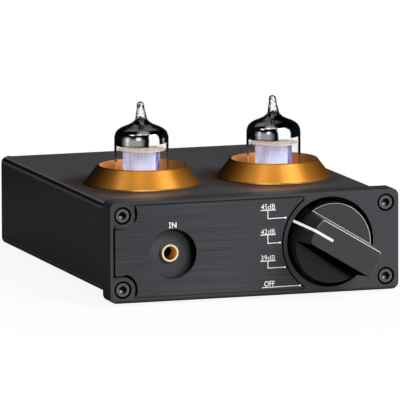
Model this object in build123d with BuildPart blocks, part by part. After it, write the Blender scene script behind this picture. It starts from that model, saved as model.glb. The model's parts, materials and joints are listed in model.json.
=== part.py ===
from build123d import *

import os
from math import cos, radians, sin

# A desktop valve phono preamplifier. An extruded aluminium case lies between a thick front panel and a
# thin rear plate. Two miniature valves stand in gold rings on top, and plug into sockets on the board.
#
# Millimetres. +X is to the right seen from the front, +Y runs to the back and +Z is up.
# The origin is at the middle of the overall box, on the surface that the feet stand on.

# ---------------------------------------------------------------- driving dimensions
PANEL_WIDTH = 100.0
PANEL_HEIGHT = 33.5
PANEL_THICK = 7.6
PANEL_CORNER = 2.4
PANEL_EDGE = 0.35
BODY_LENGTH = 126.8  # front face of the front panel to the back face of the rear plate
CASE_WIDTH = 96.7
CASE_HEIGHT = 29.8
CASE_WALL = 1.8
CASE_CORNER = 2.2
REAR_THICK = 2.0
FOOT_HEIGHT = 3.0
KNOB_PROUD = 16.0  # grip face in front of the panel
PHONO_PROUD = 9.2  # rear sockets behind the plate
FIT_GAP = 0.02  # between pieces of one body that are pushed together
RUN_GAP = 0.06  # radial, between pieces that move on each other
MOULD_GAP = 0.4  # from a moulded body to the panel in front of it
MOULD_CORNER = 0.8
BORE_END = 0.5  # left free past the end of a pin or shaft in a blind hole

PANEL_FRONT = KNOB_PROUD - (KNOB_PROUD + BODY_LENGTH + PHONO_PROUD) / 2
PANEL_BACK = PANEL_FRONT + PANEL_THICK
REAR_BACK = PANEL_FRONT + BODY_LENGTH
REAR_FRONT = REAR_BACK - REAR_THICK
CASE_BOTTOM = FOOT_HEIGHT
CASE_TOP = CASE_BOTTOM + CASE_HEIGHT
CASE_MID = CASE_BOTTOM + CASE_HEIGHT / 2
CASE_INSIDE = CASE_WIDTH / 2 - CASE_WALL
PANEL_BOTTOM = CASE_MID - PANEL_HEIGHT / 2
PANEL_TOP = CASE_MID + PANEL_HEIGHT / 2

# Corner screws: M3 socket heads sunk in the front panel, countersunk heads flush in the rear plate.
SCREW_X = PANEL_WIDTH / 2 - 4.5
SCREW_Z = PANEL_HEIGHT / 2 - 4.5
SCREW_RADIUS = 1.45
SCREW_BORE = 1.5
SCREW_PANEL_HOLE = 1.7
BOSS_RADIUS = 2.6
HEAD_RADIUS = 2.75
HEAD_HEIGHT = 3.0
HEAD_SUNK = 0.2
COUNTERBORE_RADIUS = 2.97
HEX_FLATS = 2.5
HEX_DEPTH = 1.5
FRONT_SCREW_LENGTH = 12.0
REAR_HEAD_HEIGHT = 1.25  # its side slopes by 45 degrees, from HEAD_RADIUS to about the shank
REAR_HEX_FLATS = 2.0
REAR_HEX_DEPTH = 0.9
REAR_SCREW_LENGTH = 8.0

# Main board, which slides in guide rails of the extrusion.
BOARD_THICK = 1.6
BOARD_BOTTOM = 9.4
BOARD_TOP = BOARD_BOTTOM + BOARD_THICK
BOARD_HALF_WIDTH = CASE_INSIDE - 0.35
BOARD_FRONT = PANEL_BACK + 1.6
BOARD_BACK = REAR_FRONT - 1.2
RAIL_REACH = 1.4
RAIL_THICK = 1.1
RAIL_SLACK = 0.15

# Brushed pocket of the front panel.
POCKET_DEPTH = 0.5
POCKET_LEFT = -48.5
POCKET_RIGHT = 17.2
POCKET_TOP = PANEL_BOTTOM + 32.45
POCKET_BOTTOM = PANEL_BOTTOM + 1.45
POCKET_ARC_X = 27.5
POCKET_ARC_RADIUS = 17.6
POCKET_SCREW_RADIUS = 4.2
POCKET_CORNER = 0.6

# Selector knob, and the rotary switch behind it.
KNOB_X = 26.1
KNOB_Z = PANEL_BOTTOM + 16.9
WELL_RADIUS = 15.0
WELL_DEPTH = 4.6
KNOB_BACK = PANEL_FRONT + 3.4
KNOB_FRONT = PANEL_FRONT - KNOB_PROUD
KNOB_BACK_RADIUS = 13.6
KNOB_FRONT_RADIUS = 12.5
KNOB_FLOOR = PANEL_FRONT - 3.4  # the side cuts stop here and leave the grip bar
GRIP_WIDTH = 9.2  # across the bar's front face
GRIP_FOOT_WIDTH = 11.4
GRIP_CORNER = 1.1
GRIP_TILT = 31.0  # the bar's end stands this far above 9 o'clock in the first position
GRIP_EDGE = 0.25
POINTER_WIDTH = 0.85
POINTER_DEPTH = 0.5
POINTER_INNER = 5.2
HUB_RADIUS = 5.4
HUB_BACK = KNOB_BACK - 2.0
HOLLOW_RADIUS = 11.2
HOLLOW_DEPTH = 5.0
SHAFT_RADIUS = 3.0
SHAFT_FLAT = 1.5  # the shaft's flat lies this far from its axis
SHAFT_FRONT = PANEL_FRONT - 9.5
SHAFT_FLAT_BACK = HUB_BACK + 0.3
BUSHING_RADIUS = 3.5
BUSHING_FRONT = PANEL_BACK - 5.4
SWITCH_NUT_FLATS = 10.0
SWITCH_NUT_HEIGHT = 1.8
SWITCH_WIDTH = 16.4
SWITCH_HEIGHT = 15.6
SWITCH_FRONT = PANEL_BACK + MOULD_GAP
SWITCH_DEPTH = 11.0
SHAFT_BACK = SWITCH_FRONT + 6.0

# Gold 3.5 mm jack in its round recess.
JACK_X = -28.2
JACK_Z = PANEL_BOTTOM + 15.4
JACK_WELL_RADIUS = 8.2
JACK_WELL_DEPTH = 4.2
JACK_BARREL_RADIUS = 3.3
JACK_BARREL_PROUD = 1.0
JACK_BORE = 1.8
JACK_LIP = 0.45
JACK_BODY_BORE = 2.1
JACK_BODY_WIDTH = 11.0
JACK_BODY_DEPTH = 13.5

# Valves (miniature, seven pins on a 9.53 mm circle) with their rings and sockets.
VALVE_Y = PANEL_FRONT + 51.2
VALVES = {"left": -22.5, "right": 23.8}
RING_BASE_RADIUS = 19.1
RING_RIM_RADIUS = 14.6
RING_HEIGHT = 6.3
RING_LIP = 0.5
RING_MOUTH_RADIUS = 14.0
RING_THROAT_RADIUS = 10.9
SPIGOT_RADIUS = 12.4
SPIGOT_DEPTH = 2.6
VALVE_HOLE_RADIUS = 12.5
SEAT_Z = CASE_TOP - 10.5
BULB_RADIUS = 9.05
GLASS = 0.9
BUTTON_THICK = 2.4
PIN_RADIUS = 0.508
PIN_CIRCLE = 9.53 / 2
PIN_COUNT = 7
PIN_STEP = 45.0
PIN_REACH = 7.0
PIN_INSIDE = 1.2
PIN_ANGLES = [PIN_STEP * (step + 1) - 90.0 for step in range(PIN_COUNT)]
SHOULDER_Z = CASE_TOP + 15.0
SHOULDER_BREAK_RADIUS = 6.3
SHOULDER_BREAK_Z = CASE_TOP + 19.0
HOLLOW_BREAK_RADIUS = 0.9 * SHOULDER_BREAK_RADIUS
HOLLOW_BREAK_Z = SHOULDER_BREAK_Z - 1.6 * GLASS
NECK_RADIUS = 1.7
NECK_Z = CASE_TOP + 22.2
TIP_RADIUS = 1.3
TIP_Z = CASE_TOP + 27.55
MICA_RADIUS = 7.95
MICA_THICK = 0.3
UPPER_MICA_Z = CASE_TOP + 11.3
LOWER_MICA_Z = CASE_TOP - 5.6
ANODE_HALF_WIDTH = 4.85
ANODE_HALF_DEPTH = 3.1
ANODE_SHEET = 0.3
ANODE_CORNER = 2.2
ANODE_WING = 6.4
ROD_RADIUS = 0.4
ROD_X = 2.6
CATHODE_RADIUS = 0.7
ELECTRODE_PROUD = 1.0  # rods and cathode past either mica
GETTER_RADIUS = 2.4
GETTER_WIRE = 0.35
GETTER_ARM = 0.28  # wire that carries the ring on its post
GETTER_Z = UPPER_MICA_Z + 3.2
SOCKET_RADIUS = 9.6
SOCKET_TOP = SEAT_Z - 0.3
SOCKET_BOTTOM = BOARD_TOP + 2.4
SOCKET_FOOT_RADIUS = 1.3
SOCKET_FOOT_CIRCLE = 7.8
SOCKET_FOOT_ANGLES = (90, -30, -150)
CONTACT_HOLE = 1.05
CONTACT_RADIUS = 1.0
CONTACT_BORE = PIN_RADIUS + RUN_GAP
TAIL_WIDTH = 0.9
TAIL_THICK = 0.35
TAIL_SLOT = 0.2
TAIL_PROUD = 1.0  # below the board
CONTACT_SUNK = 0.2

# Rear plate: two pairs of phono sockets, an earth post and the power inlet.
PHONO_Z = BOARD_TOP + 7.2
PHONO_PITCH = 14.0
PHONO_PAIRS = {"input": 25.0, "output": -13.0}
PHONO_SHELL_RADIUS = 4.15
PHONO_SHELL_WALL = 0.55
PHONO_FLANGE_RADIUS = 5.6
PHONO_FLANGE_PROUD = 0.6
PHONO_EDGE = 0.3
PHONO_PIN_BORE = 1.62
PHONO_CONTACT_RADIUS = 2.05
PHONO_CONTACT_REACH = 5.4  # the contact sleeves run this far into their block
PHONO_INSULATOR_SUNK = 1.0
PHONO_CONTACT_SUNK = 0.4  # below the insulator's face
PHONO_BLOCK_WIDTH = 27.4
PHONO_BLOCK_HEIGHT = 14.6
PHONO_BLOCK_DEPTH = 10.5
POST_X = 6.0
POST_Z = PHONO_Z
POST_RADIUS = 2.0
POST_END = REAR_BACK + 8.7
POST_HEAD_FLATS = 7.0
POST_HEAD_THICK = 2.4
WASHER_RADIUS = 4.6
WASHER_THICK = 0.8
THUMB_RADIUS = 5.0
THUMB_HEIGHT = 5.5
KNURL_COUNT = 18
KNURL_RADIUS = 0.45
INLET_X = -38.0
INLET_Z = BOARD_TOP + 6.6
INLET_NOSE_RADIUS = 3.95
INLET_BORE = 3.1
INLET_BORE_DEPTH = 9.5
INLET_PIN_RADIUS = 1.0
INLET_PIN_SUNK = 0.5
INLET_WIDTH = 9.2
INLET_HEIGHT = 11.2
INLET_DEPTH = 13.0

# Feet.
FOOT_RADIUS = 5.0
FOOT_INSET_X = 14.0
FOOT_INSET_Y = 16.0

os.makedirs("parts", exist_ok=True)


def across(y):
    """Upright plane at depth y, drawn as seen from the front; a positive extrusion comes forward."""
    return Plane.XZ.offset(-y)


def write(builder, label):
    """Label a finished piece and write it as a STEP file of the same name."""
    builder.part.label = label
    export_step(builder.part, f"parts/{label}.step")


def upright_section(x, y):
    """Plane for the half section of a piece turned about the vertical at (x, y): radius, height."""
    return Plane(origin=(x, y, 0), x_dir=(1, 0, 0), z_dir=(0, -1, 0))


def upright_axis(x, y):
    return Axis((x, y, 0), (0, 0, 1))


def lying_section(x, z):
    """Plane for the half section of a piece turned about a front-to-back line: radius, depth."""
    return Plane(origin=(x, 0, z), x_dir=(1, 0, 0), z_dir=(0, 0, 1))


def lying_axis(x, z):
    return Axis((x, 0, z), (0, 1, 0))


corners = [(x * SCREW_X, CASE_MID + z * SCREW_Z) for x in (-1, 1) for z in (-1, 1)]

# ---------------------------------------------------------------- case
with BuildPart() as case_shell:
    with BuildSketch(across(PANEL_BACK)):
        with Locations((0, CASE_MID)):
            RectangleRounded(CASE_WIDTH, CASE_HEIGHT, CASE_CORNER)
            Rectangle(CASE_WIDTH - 2 * CASE_WALL, CASE_HEIGHT - 2 * CASE_WALL, mode=Mode.SUBTRACT)
        with Locations(*corners):
            Circle(BOSS_RADIUS)
        rail_x = CASE_INSIDE - RAIL_REACH / 2
        rail_heights = (BOARD_BOTTOM - RAIL_SLACK - RAIL_THICK / 2, BOARD_TOP + RAIL_SLACK + RAIL_THICK / 2)
        with Locations(*[(side * rail_x, z) for side in (-1, 1) for z in rail_heights]):
            Rectangle(RAIL_REACH, RAIL_THICK)
        with Locations(*corners):
            Circle(SCREW_BORE, mode=Mode.SUBTRACT)
    extrude(amount=-(REAR_FRONT - PANEL_BACK))
    with BuildSketch(Plane.XY.offset(CASE_TOP)):
        with Locations(*[(x, VALVE_Y) for x in VALVES.values()]):
            Circle(VALVE_HOLE_RADIUS)
    extrude(amount=-2 * CASE_WALL, mode=Mode.SUBTRACT)
write(case_shell, "case_shell")

# The front panel is a thick plate, rounded at its corners. Its brushed pocket stops at an arc beside
# the knob and swings round the two left screws. The knob and the jack each sit in a round well.
with BuildPart() as front_panel:
    with BuildSketch(across(PANEL_BACK)):
        with Locations((0, CASE_MID)):
            RectangleRounded(PANEL_WIDTH, PANEL_HEIGHT, PANEL_CORNER)
    extrude(amount=PANEL_THICK)
    fillet(front_panel.faces().sort_by(Axis.Y)[0].edges(), PANEL_EDGE)
    with BuildSketch(across(PANEL_FRONT)) as pocket:
        with Locations(((POCKET_LEFT + POCKET_RIGHT) / 2, (POCKET_TOP + POCKET_BOTTOM) / 2)):
            Rectangle(POCKET_RIGHT - POCKET_LEFT, POCKET_TOP - POCKET_BOTTOM)
        with Locations((POCKET_ARC_X, CASE_MID)):
            Circle(POCKET_ARC_RADIUS, mode=Mode.SUBTRACT)
        with Locations(*[(-SCREW_X, CASE_MID + side * SCREW_Z) for side in (-1, 1)]):
            Circle(POCKET_SCREW_RADIUS, mode=Mode.SUBTRACT)
        with Locations(*[(-PANEL_WIDTH / 2, CASE_MID + side * PANEL_HEIGHT / 2) for side in (-1, 1)]):
            Rectangle(2 * (PANEL_WIDTH / 2 - SCREW_X), 2 * (PANEL_HEIGHT / 2 - SCREW_Z), mode=Mode.SUBTRACT)
        right_end = pocket.vertices().group_by(Axis.X)[-1].sort_by(Axis.Y)
        fillet([right_end[0], right_end[-1]], POCKET_CORNER)
    extrude(amount=-POCKET_DEPTH, mode=Mode.SUBTRACT)
    for x, z, radius, depth in (
        (KNOB_X, KNOB_Z, WELL_RADIUS, WELL_DEPTH),
        (JACK_X, JACK_Z, JACK_WELL_RADIUS, JACK_WELL_DEPTH),
        (KNOB_X, KNOB_Z, BUSHING_RADIUS + FIT_GAP, PANEL_THICK),
        (JACK_X, JACK_Z, JACK_BARREL_RADIUS + FIT_GAP, PANEL_THICK),
    ):
        with BuildSketch(across(PANEL_FRONT)):
            with Locations((x, z)):
                Circle(radius)
        extrude(amount=-depth, mode=Mode.SUBTRACT)
    for radius, depth in ((COUNTERBORE_RADIUS, HEAD_HEIGHT + HEAD_SUNK), (SCREW_PANEL_HOLE, PANEL_THICK)):
        with BuildSketch(across(PANEL_FRONT)):
            with Locations(*corners):
                Circle(radius)
        extrude(amount=-depth, mode=Mode.SUBTRACT)
write(front_panel, "front_panel")

phono_places = {
    (pair, side): middle + offset * PHONO_PITCH / 2
    for pair, middle in PHONO_PAIRS.items()
    for side, offset in (("left", -1), ("right", 1))
}

with BuildPart() as rear_plate:
    with BuildSketch(across(REAR_FRONT)):
        with Locations((0, CASE_MID)):
            RectangleRounded(CASE_WIDTH, CASE_HEIGHT, CASE_CORNER)
        with Locations(*corners):
            Circle(SCREW_PANEL_HOLE, mode=Mode.SUBTRACT)
        with Locations(*[(x, PHONO_Z) for x in phono_places.values()]):
            Circle(PHONO_FLANGE_RADIUS + FIT_GAP, mode=Mode.SUBTRACT)
        with Locations((POST_X, POST_Z)):
            Circle(POST_RADIUS + RUN_GAP, mode=Mode.SUBTRACT)
        with Locations((INLET_X, INLET_Z)):
            Circle(INLET_NOSE_RADIUS + RUN_GAP, mode=Mode.SUBTRACT)
    extrude(amount=-REAR_THICK)
    fillet(rear_plate.faces().sort_by(Axis.Y)[-1].outer_wire().edges(), PANEL_EDGE)
    with BuildSketch(across(REAR_BACK)):
        with Locations(*corners):
            Circle(HEAD_RADIUS + RUN_GAP)
    extrude(amount=REAR_HEAD_HEIGHT, taper=45, mode=Mode.SUBTRACT)
write(rear_plate, "rear_plate")

with BuildPart() as front_screws:
    with BuildSketch(across(PANEL_FRONT + HEAD_SUNK)):
        with Locations(*corners):
            Circle(HEAD_RADIUS)
    extrude(amount=-HEAD_HEIGHT)
    with BuildSketch(across(PANEL_FRONT + HEAD_SUNK + HEAD_HEIGHT)):
        with Locations(*corners):
            Circle(SCREW_RADIUS)
    extrude(amount=-FRONT_SCREW_LENGTH)
    with BuildSketch(across(PANEL_FRONT + HEAD_SUNK)):
        with Locations(*corners):
            RegularPolygon(HEX_FLATS / 2, 6, major_radius=False)
    extrude(amount=-HEX_DEPTH, mode=Mode.SUBTRACT)
write(front_screws, "front_screws")

with BuildPart() as rear_screws:
    with BuildSketch(across(REAR_BACK)):
        with Locations(*corners):
            Circle(HEAD_RADIUS)
    extrude(amount=REAR_HEAD_HEIGHT, taper=45)
    with BuildSketch(across(REAR_BACK - REAR_HEX_DEPTH)):
        with Locations(*corners):
            Circle(SCREW_RADIUS)
    extrude(amount=REAR_HEAD_HEIGHT - REAR_HEX_DEPTH + REAR_SCREW_LENGTH)
    with BuildSketch(across(REAR_BACK)):
        with Locations(*corners):
            RegularPolygon(REAR_HEX_FLATS / 2, 6, major_radius=False)
    extrude(amount=REAR_HEX_DEPTH, mode=Mode.SUBTRACT)
write(rear_screws, "rear_screws")


def foot(x, y):
    """Stick-on rubber foot: a short turned pad with a rounded rim."""
    with BuildPart() as pad:
        with BuildSketch(Plane.XY):
            with Locations((x, y)):
                Circle(FOOT_RADIUS)
        extrude(amount=FOOT_HEIGHT)
        fillet(pad.faces().sort_by(Axis.Z)[0].edges(), FOOT_HEIGHT / 4)
    return pad


for depth_name, y in (("front", PANEL_BACK + FOOT_INSET_Y), ("rear", REAR_BACK - FOOT_INSET_Y)):
    for side_name, side in (("left", -1), ("right", 1)):
        write(foot(side * (CASE_WIDTH / 2 - FOOT_INSET_X), y), f"foot_{depth_name}_{side_name}")


# ---------------------------------------------------------------- valves, rings and sockets
def ring(x):
    """Gold ring: a turned cone with a sloping mouth and a spigot that drops through the case."""
    top = CASE_TOP + RING_HEIGHT
    with BuildPart() as cone:
        with BuildSketch(upright_section(x, VALVE_Y)):
            with BuildLine():
                Polyline(
                    (SPIGOT_RADIUS, CASE_TOP),
                    (RING_BASE_RADIUS, CASE_TOP),
                    (RING_BASE_RADIUS, CASE_TOP + RING_LIP),
                    (RING_RIM_RADIUS + RING_LIP / 2, top - RING_LIP / 2),
                    (RING_RIM_RADIUS, top),
                    (RING_MOUTH_RADIUS, top),
                    (RING_THROAT_RADIUS, CASE_TOP + RING_LIP),
                    (RING_THROAT_RADIUS, CASE_TOP - SPIGOT_DEPTH),
                    (SPIGOT_RADIUS, CASE_TOP - SPIGOT_DEPTH),
                    close=True,
                )
            make_face()
        revolve(axis=upright_axis(x, VALVE_Y))
    return cone


def bulb(x):
    """Blown glass envelope, open at its foot: straight wall, round shoulder, drawn neck and sealed tip."""
    inner = BULB_RADIUS - GLASS
    with BuildPart() as glass:
        with BuildSketch(upright_section(x, VALVE_Y)):
            with BuildLine():
                Line((inner, SEAT_Z), (BULB_RADIUS, SEAT_Z))
                Line((BULB_RADIUS, SEAT_Z), (BULB_RADIUS, SHOULDER_Z))
                shoulder = TangentArc(
                    (BULB_RADIUS, SHOULDER_Z),
                    (SHOULDER_BREAK_RADIUS, SHOULDER_BREAK_Z),
                    tangent=(0, 1),
                )
                drawn = TangentArc(shoulder @ 1, (NECK_RADIUS, NECK_Z), tangent=shoulder % 1)
                Line(drawn @ 1, (TIP_RADIUS, TIP_Z - TIP_RADIUS))
                CenterArc((0, TIP_Z - TIP_RADIUS), TIP_RADIUS, 0, 90)
                Line((0, TIP_Z), (0, NECK_Z - 2 * GLASS))
                hollow = ThreePointArc(
                    (0, NECK_Z - 2 * GLASS),
                    (HOLLOW_BREAK_RADIUS, HOLLOW_BREAK_Z),
                    (inner, SHOULDER_Z),
                )
                Line(hollow @ 1, (inner, SEAT_Z))
            make_face()
        revolve(axis=upright_axis(x, VALVE_Y))
    return glass


def around(x, radius, angles):
    """Points on a circle about the valve at x, one at each angle in degrees."""
    return [(x + radius * cos(radians(a)), VALVE_Y + radius * sin(radians(a))) for a in angles]


def pressed_button(x):
    """Glass foot of the envelope, with the seven pins passing through it."""
    with BuildPart() as button:
        with BuildSketch(Plane.XY.offset(SEAT_Z)):
            with Locations((x, VALVE_Y)):
                Circle(BULB_RADIUS - GLASS - FIT_GAP)
            with Locations(*around(x, PIN_CIRCLE, PIN_ANGLES)):
                Circle(PIN_RADIUS + FIT_GAP, mode=Mode.SUBTRACT)
        extrude(amount=BUTTON_THICK)
    return button


def pins(x):
    with BuildPart() as group:
        with BuildSketch(Plane.XY.offset(SEAT_Z - PIN_REACH)):
            with Locations(*around(x, PIN_CIRCLE, PIN_ANGLES)):
                Circle(PIN_RADIUS)
        extrude(amount=PIN_REACH + BUTTON_THICK + PIN_INSIDE)
    return group


def micas(x):
    """Two mica discs that hold the electrodes, pierced for the rods and the cathode."""
    with BuildPart() as discs:
        for z in (LOWER_MICA_Z, UPPER_MICA_Z):
            with BuildSketch(Plane.XY.offset(z)):
                with Locations((x, VALVE_Y)):
                    Circle(MICA_RADIUS)
                    Circle(CATHODE_RADIUS + FIT_GAP, mode=Mode.SUBTRACT)
                with Locations((x - ROD_X, VALVE_Y), (x + ROD_X, VALVE_Y)):
                    Circle(ROD_RADIUS + FIT_GAP, mode=Mode.SUBTRACT)
            extrude(amount=MICA_THICK)
    return discs


def anode(x):
    """Sheet anode: an oval tube with a flat seam wing on either side, between the micas."""
    bottom = LOWER_MICA_Z + MICA_THICK
    with BuildPart() as sheet:
        with BuildSketch(Plane.XY.offset(bottom)) as outline:
            with Locations((x, VALVE_Y)):
                RectangleRounded(2 * ANODE_HALF_WIDTH, 2 * ANODE_HALF_DEPTH, ANODE_CORNER)
                Rectangle(2 * ANODE_WING, 2 * ANODE_SHEET)
                RectangleRounded(
                    2 * (ANODE_HALF_WIDTH - ANODE_SHEET),
                    2 * (ANODE_HALF_DEPTH - ANODE_SHEET),
                    ANODE_CORNER - ANODE_SHEET,
                    mode=Mode.SUBTRACT,
                )
        extrude(amount=UPPER_MICA_Z - bottom)
    return sheet


def electrodes(x):
    """Cathode sleeve and the two rods of the grid, standing through both micas."""
    with BuildPart() as group:
        with BuildSketch(Plane.XY.offset(LOWER_MICA_Z - ELECTRODE_PROUD)):
            with Locations((x, VALVE_Y)):
                Circle(CATHODE_RADIUS)
            with Locations((x - ROD_X, VALVE_Y), (x + ROD_X, VALVE_Y)):
                Circle(ROD_RADIUS)
        extrude(amount=UPPER_MICA_Z + MICA_THICK - LOWER_MICA_Z + 2 * ELECTRODE_PROUD)
    return group


def getter(x):
    """Getter: a small wire ring held above the upper mica on its post."""
    post_x = x + GETTER_RADIUS + ROD_X
    with BuildPart() as loop:
        with BuildSketch(upright_section(x, VALVE_Y)):
            with Locations((GETTER_RADIUS, GETTER_Z)):
                Circle(GETTER_WIRE)
        revolve(axis=upright_axis(x, VALVE_Y))
        with BuildSketch(Plane.XY.offset(UPPER_MICA_Z + MICA_THICK)):
            with Locations((post_x, VALVE_Y)):
                Circle(GETTER_WIRE)
        extrude(amount=GETTER_Z - UPPER_MICA_Z - MICA_THICK + GETTER_WIRE)
        with BuildSketch(Plane.YZ.offset(x + GETTER_RADIUS)):
            with Locations((VALVE_Y, GETTER_Z)):
                Circle(GETTER_ARM)
        extrude(amount=ROD_X)
    return loop


def valve_socket(x):
    """Seven-hole moulded socket that stands off the board on three feet."""
    with BuildPart() as moulding:
        with BuildSketch(Plane.XY.offset(SOCKET_BOTTOM)):
            with Locations((x, VALVE_Y)):
                Circle(SOCKET_RADIUS)
            with Locations(*around(x, PIN_CIRCLE, PIN_ANGLES)):
                Circle(CONTACT_HOLE, mode=Mode.SUBTRACT)
        extrude(amount=SOCKET_TOP - SOCKET_BOTTOM)
        with BuildSketch(Plane.XY.offset(BOARD_TOP)):
            with Locations(*around(x, SOCKET_FOOT_CIRCLE, SOCKET_FOOT_ANGLES)):
                Circle(SOCKET_FOOT_RADIUS)
        extrude(amount=SOCKET_BOTTOM - BOARD_TOP)
    return moulding


def socket_contacts(x):
    """Seven sleeves that grip the valve's pins, each with a flat tail soldered through the board."""
    with BuildPart() as group:
        with BuildSketch(Plane.XY.offset(SOCKET_BOTTOM)):
            with Locations(*around(x, PIN_CIRCLE, PIN_ANGLES)):
                Circle(CONTACT_RADIUS)
        extrude(amount=SOCKET_TOP - SOCKET_BOTTOM - CONTACT_SUNK)
        with BuildSketch(Plane.XY.offset(SOCKET_BOTTOM + BORE_END)):
            with Locations(*around(x, PIN_CIRCLE, PIN_ANGLES)):
                Circle(CONTACT_BORE)
        extrude(amount=SOCKET_TOP - SOCKET_BOTTOM, mode=Mode.SUBTRACT)
        with BuildSketch(Plane.XY.offset(BOARD_BOTTOM - TAIL_PROUD)):
            with Locations(*around(x, PIN_CIRCLE, PIN_ANGLES)):
                Rectangle(TAIL_WIDTH, TAIL_THICK)
        extrude(amount=SOCKET_BOTTOM - BOARD_BOTTOM + TAIL_PROUD)
    return group


for side_name, x in VALVES.items():
    write(ring(x), f"ring_{side_name}")
    write(bulb(x), f"valve_{side_name}_bulb")
    write(pressed_button(x), f"valve_{side_name}_button")
    write(pins(x), f"valve_{side_name}_pins")
    write(micas(x), f"valve_{side_name}_micas")
    write(anode(x), f"valve_{side_name}_anode")
    write(electrodes(x), f"valve_{side_name}_electrodes")
    write(getter(x), f"valve_{side_name}_getter")
    write(valve_socket(x), f"socket_{side_name}")
    write(socket_contacts(x), f"socket_{side_name}_contacts")

# ---------------------------------------------------------------- selector knob and switch
# Direction of the grip bar towards its white end, and the planes along and across it. Both are drawn
# as a distance from the knob's axis and a depth.
grip_out = (-cos(radians(GRIP_TILT)), sin(radians(GRIP_TILT)))
grip_section = Plane(
    origin=(KNOB_X, 0, KNOB_Z),
    x_dir=(grip_out[0], 0, grip_out[1]),
    z_dir=(-grip_out[1], 0, grip_out[0]),
)
grip_profile = Plane(
    origin=(KNOB_X, 0, KNOB_Z),
    x_dir=(grip_out[1], 0, -grip_out[0]),
    z_dir=(grip_out[0], 0, grip_out[1]),
)


def spans_grip(edge):
    """True for the four corners of the bar, which run from its foot to its front face."""
    box = edge.bounding_box()
    return box.min.Y < KNOB_FRONT + FIT_GAP and abs(box.max.Y - KNOB_FLOOR) < FIT_GAP


with BuildPart() as knob_blank:
    with BuildSketch(lying_section(KNOB_X, KNOB_Z)):
        with BuildLine():
            Polyline(
                (0, KNOB_FRONT),
                (KNOB_FRONT_RADIUS, KNOB_FRONT),
                (KNOB_BACK_RADIUS, KNOB_BACK),
                (HOLLOW_RADIUS, KNOB_BACK),
                (HOLLOW_RADIUS, KNOB_BACK - HOLLOW_DEPTH),
                (HUB_RADIUS, KNOB_BACK - HOLLOW_DEPTH),
                (HUB_RADIUS, HUB_BACK),
                (0, HUB_BACK),
                close=True,
            )
        make_face()
    revolve(axis=lying_axis(KNOB_X, KNOB_Z))
    with BuildSketch(grip_profile):
        with BuildLine():
            Polyline(
                (GRIP_WIDTH / 2, KNOB_FRONT),
                (GRIP_FOOT_WIDTH / 2, KNOB_FLOOR),
                (KNOB_BACK_RADIUS, KNOB_FLOOR),
                (KNOB_BACK_RADIUS, KNOB_FRONT),
                close=True,
            )
        make_face()
        mirror(about=Plane.YZ)
    extrude(amount=KNOB_BACK_RADIUS, both=True, mode=Mode.SUBTRACT)
    fillet(knob_blank.edges().filter_by(spans_grip), GRIP_CORNER)
    chamfer(knob_blank.faces().sort_by(Axis.Y)[0].edges(), GRIP_EDGE)
    with BuildSketch(across(HUB_BACK)):
        with Locations((KNOB_X, KNOB_Z)):
            Circle(SHAFT_RADIUS + FIT_GAP)
        with Locations((KNOB_X, KNOB_Z + SHAFT_FLAT + FIT_GAP + SHAFT_RADIUS)):
            Rectangle(4 * SHAFT_RADIUS, 2 * SHAFT_RADIUS, mode=Mode.SUBTRACT)
    extrude(amount=HUB_BACK - SHAFT_FRONT + BORE_END, mode=Mode.SUBTRACT)

# White inlay: along the front face from POINTER_INNER, then down the end of the bar, flush all the way.
with BuildPart() as knob_pointer:
    with BuildSketch(grip_section):
        with BuildLine():
            Polyline(
                (POINTER_INNER, KNOB_FRONT),
                (2 * KNOB_BACK_RADIUS, KNOB_FRONT),
                (2 * KNOB_BACK_RADIUS, KNOB_BACK),
                (KNOB_BACK_RADIUS - POINTER_DEPTH, KNOB_BACK),
                (KNOB_FRONT_RADIUS - POINTER_DEPTH, KNOB_FRONT + POINTER_DEPTH),
                (POINTER_INNER, KNOB_FRONT + POINTER_DEPTH),
                close=True,
            )
        make_face()
    extrude(amount=POINTER_WIDTH / 2, both=True)
    add(knob_blank.part, mode=Mode.INTERSECT)
write(knob_pointer, "knob_pointer")

with BuildPart() as knob:
    add(knob_blank.part)
    add(knob_pointer.part, mode=Mode.SUBTRACT)
write(knob, "knob")

with BuildPart() as switch_shaft:
    with BuildSketch(across(SHAFT_BACK)):
        with Locations((KNOB_X, KNOB_Z)):
            Circle(SHAFT_RADIUS)
    extrude(amount=SHAFT_BACK - SHAFT_FRONT)
    with BuildSketch(across(SHAFT_FLAT_BACK)):
        with Locations((KNOB_X, KNOB_Z + SHAFT_FLAT + SHAFT_RADIUS)):
            Rectangle(4 * SHAFT_RADIUS, 2 * SHAFT_RADIUS)
    extrude(amount=SHAFT_FLAT_BACK - SHAFT_FRONT, mode=Mode.SUBTRACT)
write(switch_shaft, "switch_shaft")

with BuildPart() as switch_body:
    with BuildSketch(across(SWITCH_FRONT)) as section:
        with Locations((KNOB_X, BOARD_TOP + SWITCH_HEIGHT / 2)):
            Rectangle(SWITCH_WIDTH, SWITCH_HEIGHT)
        fillet(section.vertices(), MOULD_CORNER)
    extrude(amount=-SWITCH_DEPTH)
    with BuildSketch(across(SWITCH_FRONT)):
        with Locations((KNOB_X, KNOB_Z)):
            Circle(SHAFT_RADIUS + RUN_GAP)
    extrude(amount=-(SHAFT_BACK - SWITCH_FRONT + BORE_END), mode=Mode.SUBTRACT)
write(switch_body, "switch_body")

with BuildPart() as switch_bushing:
    with BuildSketch(across(SWITCH_FRONT)):
        with Locations((KNOB_X, KNOB_Z)):
            Circle(BUSHING_RADIUS)
            Circle(SHAFT_RADIUS + RUN_GAP, mode=Mode.SUBTRACT)
    extrude(amount=SWITCH_FRONT - BUSHING_FRONT)
write(switch_bushing, "switch_bushing")

with BuildPart() as switch_nut:
    with BuildSketch(across(PANEL_FRONT + WELL_DEPTH)):
        with Locations((KNOB_X, KNOB_Z)):
            RegularPolygon(SWITCH_NUT_FLATS / 2, 6, major_radius=False)
            Circle(BUSHING_RADIUS + FIT_GAP, mode=Mode.SUBTRACT)
    extrude(amount=SWITCH_NUT_HEIGHT)
write(switch_nut, "switch_nut")

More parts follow.
